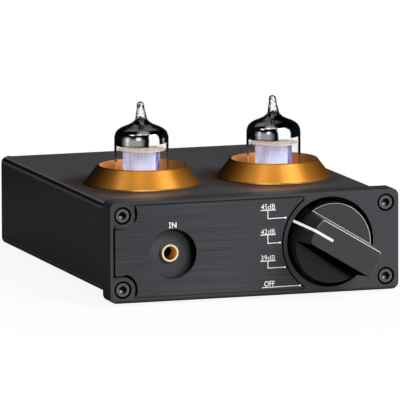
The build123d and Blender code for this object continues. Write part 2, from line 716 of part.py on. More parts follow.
# ---------------------------------------------------------------- 3.5 mm jack
jack_mouth = PANEL_FRONT + JACK_WELL_DEPTH - JACK_BARREL_PROUD
jack_body_front = PANEL_BACK + MOULD_GAP
with BuildPart() as jack_barrel:
    with BuildSketch(lying_section(JACK_X, JACK_Z)):
        with BuildLine():
            Polyline(
                (JACK_BORE, jack_body_front),
                (JACK_BORE, jack_mouth + JACK_LIP),
                (JACK_BORE + JACK_LIP, jack_mouth),
                (JACK_BARREL_RADIUS - JACK_LIP, jack_mouth),
                (JACK_BARREL_RADIUS, jack_mouth + JACK_LIP),
                (JACK_BARREL_RADIUS, jack_body_front),
                close=True,
            )
        make_face()
    revolve(axis=lying_axis(JACK_X, JACK_Z))
write(jack_barrel, "jack_barrel")

with BuildPart() as jack_body:
    with BuildSketch(across(jack_body_front)) as section:
        with Locations((JACK_X, BOARD_TOP + JACK_BODY_WIDTH / 2)):
            Rectangle(JACK_BODY_WIDTH, JACK_BODY_WIDTH)
        fillet(section.vertices(), MOULD_CORNER)
        with Locations((JACK_X, JACK_Z)):
            Circle(JACK_BODY_BORE, mode=Mode.SUBTRACT)
    extrude(amount=-JACK_BODY_DEPTH)
write(jack_body, "jack_body")


# ---------------------------------------------------------------- rear sockets, post and inlet
def phono_shell(x):
    """Turned shell of one phono socket, with a flange that fills its hole in the rear plate."""
    mouth = REAR_BACK + PHONO_PROUD
    inner = PHONO_SHELL_RADIUS - PHONO_SHELL_WALL
    with BuildPart() as shell:
        with BuildSketch(lying_section(x, PHONO_Z)):
            with BuildLine():
                Polyline(
                    (inner, REAR_FRONT),
                    (PHONO_FLANGE_RADIUS, REAR_FRONT),
                    (PHONO_FLANGE_RADIUS, REAR_BACK + PHONO_FLANGE_PROUD),
                    (PHONO_SHELL_RADIUS, REAR_BACK + PHONO_FLANGE_PROUD),
                    (PHONO_SHELL_RADIUS, mouth - PHONO_EDGE),
                    (PHONO_SHELL_RADIUS - PHONO_EDGE, mouth),
                    (inner, mouth),
                    close=True,
                )
            make_face()
        revolve(axis=lying_axis(x, PHONO_Z))
    return shell


def phono_sleeves(places, radius, bore, front, back):
    """Plain sleeves on the axes of the phono sockets at the given places."""
    with BuildPart() as group:
        with BuildSketch(across(front)):
            with Locations(*[(x, PHONO_Z) for x in places]):
                Circle(radius)
                Circle(bore, mode=Mode.SUBTRACT)
        extrude(amount=-(back - front))
    return group


for (pair, side), x in phono_places.items():
    write(phono_shell(x), f"phono_{pair}_{side}_shell")

insulator_back = REAR_BACK + PHONO_PROUD - PHONO_INSULATOR_SUNK
for side_name in ("left", "right"):
    places = [x for (pair, side), x in phono_places.items() if side == side_name]
    write(
        phono_sleeves(
            places,
            PHONO_SHELL_RADIUS - PHONO_SHELL_WALL - FIT_GAP,
            PHONO_CONTACT_RADIUS + FIT_GAP,
            REAR_FRONT,
            insulator_back,
        ),
        f"phono_{side_name}_insulators",
    )
write(
    phono_sleeves(
        phono_places.values(),
        PHONO_CONTACT_RADIUS,
        PHONO_PIN_BORE,
        REAR_FRONT - PHONO_CONTACT_REACH + FIT_GAP,
        insulator_back - PHONO_CONTACT_SUNK,
    ),
    "phono_contacts",
)

for pair, middle in PHONO_PAIRS.items():
    with BuildPart() as phono_block:
        with BuildSketch(across(REAR_FRONT)) as section:
            with Locations((middle, BOARD_TOP + PHONO_BLOCK_HEIGHT / 2)):
                Rectangle(PHONO_BLOCK_WIDTH, PHONO_BLOCK_HEIGHT)
            fillet(section.vertices(), MOULD_CORNER)
        extrude(amount=PHONO_BLOCK_DEPTH)
        with BuildSketch(across(REAR_FRONT)):
            with Locations(*[(x, PHONO_Z) for (name, side), x in phono_places.items() if name == pair]):
                Circle(PHONO_CONTACT_RADIUS + FIT_GAP)
        extrude(amount=PHONO_CONTACT_REACH, mode=Mode.SUBTRACT)
    write(phono_block, f"phono_{pair}_block")

with BuildPart() as earth_post:
    with BuildSketch(across(REAR_FRONT)):
        with Locations((POST_X, POST_Z)):
            RegularPolygon(POST_HEAD_FLATS / 2, 6, major_radius=False)
    extrude(amount=POST_HEAD_THICK)
    with BuildSketch(across(REAR_FRONT)):
        with Locations((POST_X, POST_Z)):
            Circle(POST_RADIUS)
    extrude(amount=-(POST_END - REAR_FRONT))
write(earth_post, "earth_post")

with BuildPart() as earth_washer:
    with BuildSketch(across(REAR_BACK)):
        with Locations((POST_X, POST_Z)):
            Circle(WASHER_RADIUS)
            Circle(POST_RADIUS + RUN_GAP, mode=Mode.SUBTRACT)
    extrude(amount=-WASHER_THICK)
write(earth_washer, "earth_washer")

with BuildPart() as earth_nut:
    with BuildSketch(across(REAR_BACK + WASHER_THICK)):
        with Locations((POST_X, POST_Z)):
            Circle(THUMB_RADIUS)
            Circle(POST_RADIUS + RUN_GAP, mode=Mode.SUBTRACT)
            with PolarLocations(THUMB_RADIUS, KNURL_COUNT):
                RegularPolygon(KNURL_RADIUS, 4, mode=Mode.SUBTRACT)
    extrude(amount=-THUMB_HEIGHT)
write(earth_nut, "earth_nut")

with BuildPart() as inlet_body:
    with BuildSketch(across(REAR_FRONT)) as section:
        with Locations((INLET_X, BOARD_TOP + INLET_HEIGHT / 2)):
            Rectangle(INLET_WIDTH, INLET_HEIGHT)
        fillet(section.vertices(), MOULD_CORNER)
    extrude(amount=INLET_DEPTH)
    with BuildSketch(across(REAR_FRONT)):
        with Locations((INLET_X, INLET_Z)):
            Circle(INLET_NOSE_RADIUS)
    extrude(amount=-REAR_THICK)
    with BuildSketch(across(REAR_BACK)):
        with Locations((INLET_X, INLET_Z)):
            Circle(INLET_BORE)
    extrude(amount=INLET_BORE_DEPTH, mode=Mode.SUBTRACT)
write(inlet_body, "inlet_body")

with BuildPart() as inlet_pin:
    with BuildSketch(across(REAR_BACK - INLET_BORE_DEPTH)):
        with Locations((INLET_X, INLET_Z)):
            Circle(INLET_PIN_RADIUS)
    extrude(amount=-(INLET_BORE_DEPTH - INLET_PIN_SUNK))
write(inlet_pin, "inlet_pin")

# ---------------------------------------------------------------- board and its components
with BuildPart() as main_board:
    with BuildSketch(Plane.XY.offset(BOARD_BOTTOM)):
        with Locations((0, (BOARD_FRONT + BOARD_BACK) / 2)):
            Rectangle(2 * BOARD_HALF_WIDTH, BOARD_BACK - BOARD_FRONT)
        for x in VALVES.values():
            with Locations(*around(x, PIN_CIRCLE, PIN_ANGLES)):
                Rectangle(TAIL_WIDTH + TAIL_SLOT, TAIL_THICK + TAIL_SLOT, mode=Mode.SUBTRACT)
    extrude(amount=BOARD_THICK)
write(main_board, "main_board")

# Cans and coils: radius, height and the places of their centres on the board.
CAN_RADIUS = 4.0
CAN_HEIGHT = 12.0
CAN_RIM = 0.4
CAN_PLACES = [(-36.0, 20.0), (-26.0, 20.0), (-36.0, 31.0), (-26.0, 31.0), (36.0, 20.0), (36.0, 31.0)]
RESERVOIR_RADIUS = 5.0
RESERVOIR_HEIGHT = 16.0
RESERVOIR_RIM = 0.5
RESERVOIR_PLACES = [(-38.0, 44.0), (-26.0, 44.0)]
COIL_RADIUS = 4.5
COIL_HEIGHT = 6.0
COIL_RIM = 0.8
COIL_PLACES = [(-14.0, 34.0), (-3.0, 34.0)]
FILM_SIZE = (7.2, 4.6, 8.5)
FILM_PLACES = [(x, y) for x in (-6.0, 6.0) for y in (-26.0, -18.0, -10.0, -2.0)]
CHIP_SIZE = (6.6, 9.6, 3.4)
CHIP_PLACES = [(4.0, 14.0), (18.0, 14.0), (18.0, 30.0)]


def cans(radius, height, places, rim):
    """Round components standing on the board, their upper rims rounded."""
    with BuildPart() as group:
        with BuildSketch(Plane.XY.offset(BOARD_TOP)):
            with Locations(*places):
                Circle(radius)
        extrude(amount=height)
        chamfer(group.faces().group_by(Axis.Z)[-1].edges(), rim)
    return group


def blocks(size, places):
    """Rectangular components standing on the board."""
    with BuildPart() as group:
        with BuildSketch(Plane.XY.offset(BOARD_TOP)):
            with Locations(*places):
                Rectangle(size[0], size[1])
        extrude(amount=size[2])
    return group


write(cans(CAN_RADIUS, CAN_HEIGHT, CAN_PLACES, CAN_RIM), "coupling_capacitors")
write(cans(RESERVOIR_RADIUS, RESERVOIR_HEIGHT, RESERVOIR_PLACES, RESERVOIR_RIM), "reservoir_capacitors")
write(cans(COIL_RADIUS, COIL_HEIGHT, COIL_PLACES, COIL_RIM), "converter_coils")
write(blocks(FILM_SIZE, FILM_PLACES), "film_capacitors")
write(blocks(CHIP_SIZE, CHIP_PLACES), "amplifier_chips")
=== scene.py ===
"""Looks of a desktop valve phono preamplifier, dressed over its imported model.

Everything is in metres in the model's own frame: +X is to the right seen from the front, +Y runs to the
back and +Z is up. Sizes in the classes below are in millimetres, and become metres where a mesh is made.
"""

import json
import logging
import math
from dataclasses import dataclass
from enum import Enum
from typing import Callable, Sequence

import bmesh
import bpy
from mathutils import Matrix, Vector

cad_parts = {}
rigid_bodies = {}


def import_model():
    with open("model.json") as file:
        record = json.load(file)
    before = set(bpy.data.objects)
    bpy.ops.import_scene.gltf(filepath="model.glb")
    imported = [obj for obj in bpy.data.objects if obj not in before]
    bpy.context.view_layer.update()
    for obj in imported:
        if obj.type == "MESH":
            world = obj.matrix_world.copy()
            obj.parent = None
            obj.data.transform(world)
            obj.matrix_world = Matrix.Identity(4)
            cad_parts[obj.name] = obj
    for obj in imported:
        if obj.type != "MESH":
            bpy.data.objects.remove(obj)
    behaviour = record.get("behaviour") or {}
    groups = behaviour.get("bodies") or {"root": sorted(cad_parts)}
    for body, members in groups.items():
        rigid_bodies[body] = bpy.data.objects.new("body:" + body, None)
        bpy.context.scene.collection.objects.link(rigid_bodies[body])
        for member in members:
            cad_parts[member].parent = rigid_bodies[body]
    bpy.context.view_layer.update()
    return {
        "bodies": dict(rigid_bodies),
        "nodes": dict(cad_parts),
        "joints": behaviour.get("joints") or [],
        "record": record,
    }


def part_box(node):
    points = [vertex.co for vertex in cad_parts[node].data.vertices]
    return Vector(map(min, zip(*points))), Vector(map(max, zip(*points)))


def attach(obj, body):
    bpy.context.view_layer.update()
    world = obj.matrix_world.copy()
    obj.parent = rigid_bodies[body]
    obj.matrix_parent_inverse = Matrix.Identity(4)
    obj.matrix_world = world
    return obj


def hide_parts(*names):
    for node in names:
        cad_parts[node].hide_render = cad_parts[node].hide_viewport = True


MM = 0.001
log = logging.getLogger("preamplifier")

Color = tuple[float, float, float]
Point = tuple[float, float, float]
Pair = tuple[float, float]
Faces = list[tuple[int, ...]]

WHITE: Color = (1.0, 1.0, 1.0)


# ------------------------------------------------------------------ shader expressions
def joined(operation: str, swapped: bool = False) -> Callable[["Wire", "Wire | float"], "Wire"]:
    """Make a method that joins a wire and another value in a Math node.

    Args:
        operation: Blender's name of the operation.
        swapped: whether the other value comes first.

    Returns:
        The method.
    """

    def method(self: "Wire", other: "Wire | float") -> "Wire":
        """Join the two values."""
        return self.math(operation, *((other, self) if swapped else (self, other)))

    return method


class Wire:
    """One output socket, which takes part in arithmetic as if it were a number."""

    def __init__(self, paint: "Paint", socket: bpy.types.NodeSocket) -> None:
        """Keep the socket and the material that it belongs to."""
        self.paint = paint
        self.socket = socket

    def math(self, operation: str, *values: "Wire | float") -> "Wire":
        """Add a Math node and return its result."""
        return self.paint.node("ShaderNodeMath", {"operation": operation}, dict(enumerate(values)))["Value"]

    __add__ = __radd__ = joined("ADD")
    __mul__ = __rmul__ = joined("MULTIPLY")
    __sub__ = joined("SUBTRACT")
    __rsub__ = joined("SUBTRACT", swapped=True)
    __truediv__ = joined("DIVIDE")
    __rtruediv__ = joined("DIVIDE", swapped=True)
    __pow__ = joined("POWER")
    # the smaller and the larger of two values, and the angle in radians of a point aside and ahead
    least = joined("MINIMUM")
    most = joined("MAXIMUM")
    angle = joined("ARCTAN2")

    def __abs__(self) -> "Wire":
        """Size without sign."""
        return self.math("ABSOLUTE", self)

    def sign(self) -> "Wire":
        """1 above 0 and -1 below it."""
        return self.math("SIGN", self)

    def rise(self, low: float, high: float) -> "Wire":
        """Smooth step from 0 at low to 1 at high."""
        sockets = {"Value": self, "From Min": low, "From Max": high}
        return self.paint.node("ShaderNodeMapRange", {"interpolation_type": "SMOOTHSTEP"}, sockets)["Result"]

    def fall(self, low: float, high: float) -> "Wire":
        """Smooth step down from 1 at low to 0 at high."""
        return 1.0 - self.rise(low, high)

    def band(self, low: float, high: float, soft: float) -> "Wire":
        """1 between low and high and 0 outside, with steps that are twice soft wide."""
        return self.rise(low - soft, low + soft) * self.fall(high - soft, high + soft)

    def sway(self, share: float) -> "Wire":
        """Departure from 0.5, times a share."""
        return (self - 0.5) * share

    def dims(self, share: "Wire | float") -> "Wire":
        """Brightness factor that is 1 where this is 0, and smaller by a share where it is 1."""
        return 1.0 - self * share


def length2(x: Wire, y: Wire) -> Wire:
    """Distance from the origin of a plane point."""
    return (x * x + y * y) ** 0.5


class Paint:
    """One material, or the world, while its nodes are laid."""

    def __init__(self, name: str, world: bpy.types.World | None = None) -> None:
        """Start without any nodes but the output.

        Args:
            name: name of the material.
            world: the world, where the nodes are for it and not for a new material.
        """
        self.material = world or bpy.data.materials.new(name)
        self.material.use_nodes = True
        self.tree = self.material.node_tree
        self.tree.nodes.clear()
        self.output = self.tree.nodes.new(f"ShaderNodeOutput{'World' if world else 'Material'}")

    def node(
        self, kind: str, settings: dict[str, object], inputs: dict[str | int, object]
    ) -> dict[str, Wire]:
        """Add one node.

        Args:
            kind: Blender's type name of the node.
            settings: attributes that are set first.
            inputs: values or wires for its sockets, by name or by place.

        Returns:
            Its outputs by name. Where names repeat, the enabled one counts.
        """
        made = self.tree.nodes.new(kind)
        for key, value in settings.items():
            setattr(made, key, value)
        for key, value in inputs.items():
            socket = made.inputs[key]
            if isinstance(value, Wire):
                self.tree.links.new(value.socket, socket)
            elif isinstance(value, tuple) and socket.type == "RGBA":
                socket.default_value = (*value, 1.0)
            else:
                socket.default_value = value
        return {out.name: Wire(self, out) for out in made.outputs if out.enabled}

    def parts(self, vector: Wire) -> tuple[Wire, Wire, Wire]:
        """Split a vector into three wires."""
        split = self.node("ShaderNodeSeparateXYZ", {}, {"Vector": vector})
        return split["X"], split["Y"], split["Z"]

    def point(self, x: Wire | float, y: Wire | float, z: Wire | float) -> Wire:
        """Vector from three values."""
        return self.node("ShaderNodeCombineXYZ", {}, {"X": x, "Y": y, "Z": z})["Vector"]

    def place(self) -> tuple[Wire, Wire, Wire, Wire]:
        """Position on the piece, in millimetres.

        Returns:
            Its three parts, and the vector that they make.
        """
        metres = self.node("ShaderNodeTexCoord", {}, {})["Object"]
        x, y, z = (part * (1.0 / MM) for part in self.parts(metres))
        return x, y, z, self.point(x, y, z)

    def facing(self) -> tuple[Wire, Wire, Wire]:
        """Direction that the surface faces in the piece's own axes, as three wires."""
        return self.parts(self.node("ShaderNodeTexCoord", {}, {})["Normal"])

    def noise(self, where: Wire, scale: float = 1.0, detail: float = 2.0, rough: float = 0.5) -> Wire:
        """Cloudy noise between 0 and 1, about 0.5 on average."""
        sockets = {"Vector": where, "Scale": scale, "Detail": detail, "Roughness": rough}
        return self.node("ShaderNodeTexNoise", {}, sockets)["Fac"]

    def blend(self, mask: Wire | float, low: Wire | Color, high: Wire | Color) -> Wire:
        """Colour that is low where mask is 0 and high where it is 1."""
        return self.node("ShaderNodeMix", {"data_type": "RGBA"}, {0: mask, 6: low, 7: high})["Result"]

    def tint(self, color: Wire | Color, factor: Wire) -> Wire:
        """Colour times a brightness factor."""
        scaled = self.node("ShaderNodeVectorMath", {"operation": "SCALE"}, {0: color, "Scale": factor})
        return scaled["Vector"]

    def bump(self, height: Wire, distance_mm: float) -> Wire:
        """Surface relief: height 1 stands distance_mm above height 0."""
        return self.node("ShaderNodeBump", {}, {"Height": height, "Distance": distance_mm * MM})["Normal"]

    def surface(self, **sockets: object) -> Wire:
        """Principled shader whose sockets are given in words, such as Base_Color."""
        named = {name.replace("_", " "): value for name, value in sockets.items()}
        return self.node("ShaderNodeBsdfPrincipled", {}, named)["BSDF"]

    def matte(self, color: Wire | Color, **sockets: object) -> Wire:
        """Principled shader without any reflection."""
        return self.surface(Base_Color=color, Specular_IOR_Level=0.0, **sockets)

    def glow(self, strength: Wire | float) -> Wire:
        """White light of the given strength."""
        return self.node("ShaderNodeEmission", {}, {"Color": WHITE, "Strength": strength})["Emission"]

    def mixed(self, mask: Wire | float, low: Wire, high: Wire) -> Wire:
        """Shader that is low where mask is 0 and high where it is 1."""
        return self.node("ShaderNodeMixShader", {}, {0: mask, 1: low, 2: high})["Shader"]

    def done(self, shader: Wire) -> bpy.types.Material:
        """Connect the shader to the output and hand back the material."""
        self.tree.links.new(shader.socket, self.output.inputs["Surface"])
        return self.material


class Span:
    """Lowest and highest corner of a model node at rest, in millimetres."""

    def __init__(self, node: str) -> None:
        """Measure the node."""
        self.low, self.high = (tuple(c / MM for c in corner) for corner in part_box(node))

    @property
    def middle(self) -> Point:
        """Point midway between the corners."""
        return tuple((a + b) / 2 for a, b in zip(self.low, self.high))


# ------------------------------------------------------------------ finishes
@dataclass(frozen=True)
class Finish:
    """Look of one material.

    Attributes:
        name: name of the material.
    """

    name: str

    def shader(self, paint: Paint) -> Wire:
        """Lay the nodes.

        Args:
            paint: the material that takes them.

        Returns:
            The shader.
        """
        raise NotImplementedError

    def material(self) -> bpy.types.Material:
        """Make the material."""
        paint = Paint(self.name)
        return paint.done(self.shader(paint))


@dataclass(frozen=True)
class Coating(Finish):
    """Plain finish with fine grain: paint, plastic, rubber or plating.

    Attributes:
        color: mean colour.
        roughness: mean roughness.
        metallic: 1 for bare or plated metal.
        specular: strength of the clear reflection.
        grain_mm: size of the grain.
        grain_depth: relief of the grain in millimetres.
        variation: share by which the colour varies.
    """

    color: Color
    roughness: float
    metallic: float = 0.0
    specular: float = 0.5
    grain_mm: float = 0.35
    grain_depth: float = 0.01
    variation: float = 0.12

    def shader(self, paint: Paint) -> Wire:
        """Lay the nodes.

        Args:
            paint: the material that takes them.

        Returns:
            The shader.
        """
        *_, where = paint.place()
        grain = paint.noise(where, 1.0 / self.grain_mm, 3.0, 0.6)
        cloud = paint.noise(where, 0.12)
        factor = 1.0 + (grain + cloud - 1.0) * (2.0 * self.variation)
        return paint.surface(
            Base_Color=paint.tint(self.color, factor),
            Roughness=self.roughness + cloud.sway(0.12),
            Metallic=self.metallic,
            Specular_IOR_Level=self.specular,
            Normal=paint.bump(grain, self.grain_depth),
        )


@dataclass(frozen=True)
class Ink(Finish):
    """White print or inlay, with a painted glow that keeps it white in the shade.

    Attributes:
        color: colour of the ink.
        glow: painted glow that it gives off, as a share of its colour.
        side_painted_glow: what painted glow it gives off more where it faces sideways.
    """

    color: Color
    glow: float
    side_painted_glow: float = 0.0

    def shader(self, paint: Paint) -> Wire:
        """Lay the nodes.

        Args:
            paint: the material that takes them.

        Returns:
            The shader.
        """
        *_, where = paint.place()
        grain = paint.noise(where, 4.0)
        color = paint.tint(self.color, 1.0 + grain.sway(0.08))
        aside = abs(paint.facing()[1]).fall(0.6, 0.95)
        return paint.surface(
            Base_Color=color,
            Roughness=0.5 + grain.sway(0.1),
            # painted light: a glow that keeps the ink white in the shade, stronger where it faces sideways
            Emission_Color=paint.tint(color, self.glow + aside * self.side_painted_glow + grain.sway(0.02)),
            Emission_Strength=1.0,
            Normal=paint.bump(grain, 0.002),
        )


@dataclass(frozen=True)
class EdgedBlack(Finish):
    """Blasted and anodised black of the case, with painted highlights and a painted dark reflection in bands
    along its rounded long edges, and painted shade on the deck and underside.

    Attributes:
        color: colour of the flat faces.
        rings: x and y of the valve rings' axes, with a painted shadow round each, dull and brown.
        ring_foot: radius of their foot.
        shadow_width: width of that painted shadow on the right.
        shadow_more: what it is wider on the left.
        shade_color: its colour.
        front_deck_shade: y at which the deck's painted shade is darkest in front, and at which it ends.
        upper_highlight: brightness of the painted highlight line between the top and the edge's black band.
        dark_reflection: brightness of the band, a painted dark reflection.
        lower_highlight: brightness of the painted highlight line between the band and the side.
    """

    color: Color
    rings: tuple[Pair, ...]
    ring_foot: float
    shadow_width: float = 9.0
    shadow_more: float = 6.0
    shade_color: Color = (0.035, 0.019, 0.011)
    front_deck_shade: Pair = (-52.0, -15.0)
    upper_highlight: float = 2.2
    dark_reflection: float = 0.07
    lower_highlight: float = 2.7

    def painted_ring_shadow(self, x: Wire, y: Wire) -> Wire:
        """Strength of the painted shadow on the deck round the rings.

        Args:
            x: position across the deck.
            y: position along the deck.

        Returns:
            Its share, 0 away from the rings.
        """
        ring_shadows = []
        for ring_x, ring_y in self.rings:
            dx, dy = x - ring_x, y - ring_y
            left, front = dx.fall(-18.0, 8.0), dy.fall(-18.0, -6.0)
            away = (length2(dx, dy) - self.ring_foot) / (self.shadow_width + left * self.shadow_more)
            ring_shadows.append(away.fall(0.0, 1.0) * (0.4 + left * 0.3 + front * 0.2))
        return ring_shadows[0].most(ring_shadows[1])

    def shader(self, paint: Paint) -> Wire:
        """Lay the nodes.

        Args:
            paint: the material that takes them.

        Returns:
            The shader.
        """
        x, y, _, where = paint.place()
        nx, _, nz = paint.facing()
        grain = paint.noise(where, 4.0, 3.0, 0.6)
        cloud = paint.noise(where, 0.05)
        relief = paint.bump(grain, 0.01)
        deck = nz.rise(0.9, 0.98)
        rounded = abs(nx).rise(0.02, 0.1)
        # painted highlights and a painted dark reflection in bands along the rounded edges, and painted shade
        # on the underside
        upper = abs(nz).band(0.82, 0.95, 0.03) * rounded
        dark = abs(nz).band(0.43, 0.8, 0.03)
        lower = abs(nz).band(0.08, 0.42, 0.04) * rounded
        under = nz.fall(-0.25, -0.05)
        bands = 1.0 + upper * (self.upper_highlight - 1.0) + lower * (self.lower_highlight - 1.0)
        bands = (bands - dark * rounded * (1.0 - self.dark_reflection)) * under.dims(0.85)
        # the front of the deck is painted darker: painted shade
        mottle = 1.0 + grain.sway(0.35) + cloud.sway(0.2) - deck * y.fall(*self.front_deck_shade) * 0.26
        black = paint.surface(
            Base_Color=paint.tint(self.color, bands * mottle),
            Roughness=0.34 + cloud.sway(0.1) + dark * 0.3 + under * 0.5,
            Specular_IOR_Level=0.4,
            Normal=relief,
        )
        # the matte of the painted shadow round the rings
        dull = paint.matte(paint.tint(self.shade_color, 1.0 + grain.sway(0.3)), Roughness=0.9, Normal=relief)
        return paint.mixed(self.painted_ring_shadow(x, y) * deck, black, dull)


@dataclass(frozen=True)
class Pocket:
    """Outline of the brushed pocket of the front panel.

    Attributes:
        depth: how far its floor lies behind the panel's face.
        left, right, bottom, top: its edges.
        arc_x, arc_z, arc_radius: the arc beside the knob that cuts its right end off.
        screw_x, screw_z: places of the two left screws.
        screw_radius: radius of the arcs round them.
        line: width of the outline's painted shadow.
        left_line: what it is wider at the left edge.
        arc_line: what it is wider beside the screws.
        lip: how far it reaches over the left edge.
    """

    depth: float
    left: float
    right: float
    bottom: float
    top: float
    arc_x: float
    arc_z: float
    arc_radius: float
    screw_x: float
    screw_z: Pair
    screw_radius: float
    line: float = 0.42
    left_line: float = 0.17
    arc_line: float = 0.6
    lip: float = 0.28

    def inside(self, x: Wire, z: Wire) -> Wire:
        """Distance in from the nearest edge, negative outside the pocket.

        Args:
            x: position across the panel.
            z: position up the panel.

        Returns:
            The distance in millimetres.
        """
        depth = (x - self.left).least(z - self.bottom).least(self.top - z)
        depth = depth.least(length2(x - self.arc_x, z - self.arc_z) - self.arc_radius)
        for screw_z in self.screw_z:
            outward = 1.0 if screw_z > self.arc_z else -1.0
            beside = (x - self.screw_x).most(0.0)
            beyond = ((z - screw_z) * outward).least(0.0)
            depth = depth.least(length2(beside, beyond) - self.screw_radius)
        return depth

    def outline_shadow(self, x: Wire, z: Wire) -> Wire:
        """Share of the outline's painted shadow at a point of the floor.

        Args:
            x: position across the panel.
            z: position up the panel.

        Returns:
            0 away from the outline, 1 on it.
        """
        from_left, aside, arc = x - self.left, x - self.screw_x, self.screw_radius
        width = self.line + from_left.fall(0.9, 1.1) * self.left_line
        for screw_z in self.screw_z:
            away = length2(aside, z - screw_z)
            beside = (aside + (z - screw_z) * 0.5).rise(0.55 * arc, arc)
            width = width + beside * away.fall(arc + 1.0, arc + 1.4) * self.arc_line
        lip = from_left.fall(0.0, 0.3) * self.lip
        share = ((self.inside(x, z) + lip) / width).band(0.0, 0.92, 0.12)
        faint = (z - self.bottom).fall(0.6, 1.0).most((z - self.top).rise(-1.0, -0.6) * 0.5)
        faint = faint * aside.rise(arc - 0.2, arc + 0.3)
        below = (z - self.screw_z[1]).band(-arc - 1.0, -1.6, 0.5)
        below = below * from_left.rise(0.9, 1.2) * aside.fall(3.2, 4.6)
        share = share * faint.dims(0.7) * below.dims(0.75)
        return share * x.fall(self.right + 0.1, self.right + 0.3)


@dataclass(frozen=True)
class BrushedPanel(Finish):
    """Black anodised front panel with a pocket that is brushed sideways and outlined by a painted shadow of
    its step, and with painted shade and light on its edges, wells and the jack's recess.

    Attributes:
        color: colour of the face.
        panel: the panel's corners.
        pocket: outline of the pocket.
        recess: x, z and radius of the jack's recess.
        fine_brush, broad_brush: fineness of the brush marks across and up, per millimetre.
    """

    color: Color
    panel: Span
    pocket: Pocket
    recess: tuple[float, float, float]
    fine_brush: Pair = (0.03, 8.0)
    broad_brush: Pair = (0.014, 3.0)

    def shader(self, paint: Paint) -> Wire:
        """Lay the nodes.

        Args:
            paint: the material that takes them.

        Returns:
            The shader.
        """
        x, y, z, where = paint.place()
        _, ny, nz = paint.facing()
        left, front, bottom = self.panel.low
        right, _, top = self.panel.high
        depth = self.pocket.depth
        grain = paint.noise(where, 4.0, 3.0, 0.6)
        cloud = paint.noise(where, 0.06)
        fine = paint.noise(paint.point(x * self.fine_brush[0], 0.0, z * self.fine_brush[1]), 1.0, 3.0, 0.7)
        broad = paint.noise(paint.point(x * self.broad_brush[0], 3.0, z * self.broad_brush[1]))
        flat = abs(ny).rise(0.9, 0.99)
        turned_in = 1.0 - flat
        rim = (x - left).least(right - x).least(z - bottom).least(top - z)
        sunk = y - front
        floor = flat * sunk.band(depth - 0.15, depth + 0.15, 0.05)
        on_floor = sunk.rise(0.1, 0.3).most((x - self.pocket.left).fall(-0.05, 0.05))
        # painted shadow of the pocket's step along its outline
        outline_shadow = self.pocket.outline_shadow(x, z) * on_floor * sunk.fall(0.8, 1.2)
        edge = turned_in * rim.fall(0.8, 1.1)
        front_edge = edge * sunk.fall(0.5, 0.7)
        # painted shade on the front edge, the upper turned-in faces and the lowest rim; painted light on the
        # side faces behind the edge
        shaded_low_rim = (z - bottom).fall(0.2, 1.4) * 0.8
        shaded = (front_edge * 0.55).most(turned_in * nz.rise(0.9, 0.98) * 0.3).most(shaded_low_rim)
        bright = (edge - front_edge) * nz.fall(0.1, 0.3) * 0.5

        dx, dz = x - self.recess[0], z - self.recess[1]
        from_axis = length2(dx, dz)
        from_wall = self.recess[2] - from_axis
        # painted shade on the walls of the wells and holes, less where they face up; in the jack's recess a
        # painted shadow along its upper right wall, painted light on its floor and a painted shade line round
        # its mouth
        lit_wall = nz.rise(0.3, 0.9) * from_axis.fall(9.0, 10.0)
        well_wall_shade = abs(ny).fall(0.3, 0.5) * rim.rise(0.9, 1.2) * sunk.rise(depth, depth + 0.2)
        well_wall_shade = well_wall_shade * lit_wall.dims(0.85)
        deep = sunk.rise(depth + 0.5, depth + 1.0) * flat
        recess_corner_shadow = deep * from_wall.fall(0.75, 1.5) * (dx * 0.5 + dz).rise(-1.0, 5.0)
        recess_floor_light = deep * from_wall.rise(0.0, 0.1) * (dz.rise(-3.0, 7.0) * 0.8 + 0.05)
        recess_rim_shade = floor * from_wall.band(-0.2, 0.1, 0.07) * dz.rise(-5.0, 8.0)

        mottle = 1.0 + grain.sway(0.25) + cloud.sway(0.12) + floor * (fine.sway(2.8) + broad.sway(1.4))
        # the pocket floor is painted darker towards the panel's left: painted shade
        factor = mottle * (floor * (x - left).fall(4.0, 32.0)).dims(0.2) * outline_shadow.dims(0.97) * well_wall_shade.dims(0.95)
        factor = factor * (1.0 - shaded) * (1.0 + bright) * recess_rim_shade.dims(0.75)
        factor = factor * recess_corner_shadow.dims(0.9) * (1.0 + recess_floor_light)
        return paint.surface(
            Base_Color=paint.tint(self.color, factor.most(0.04)),
            Roughness=0.42 + floor * fine.sway(0.3) + (well_wall_shade + outline_shadow) * 0.5,
            Metallic=(well_wall_shade + outline_shadow).most(shaded_low_rim * 0.6).most(recess_corner_shadow * 0.9),
            Specular_IOR_Level=0.35,
            Normal=paint.bump(grain * 0.4 + floor * fine, 0.02),
        )


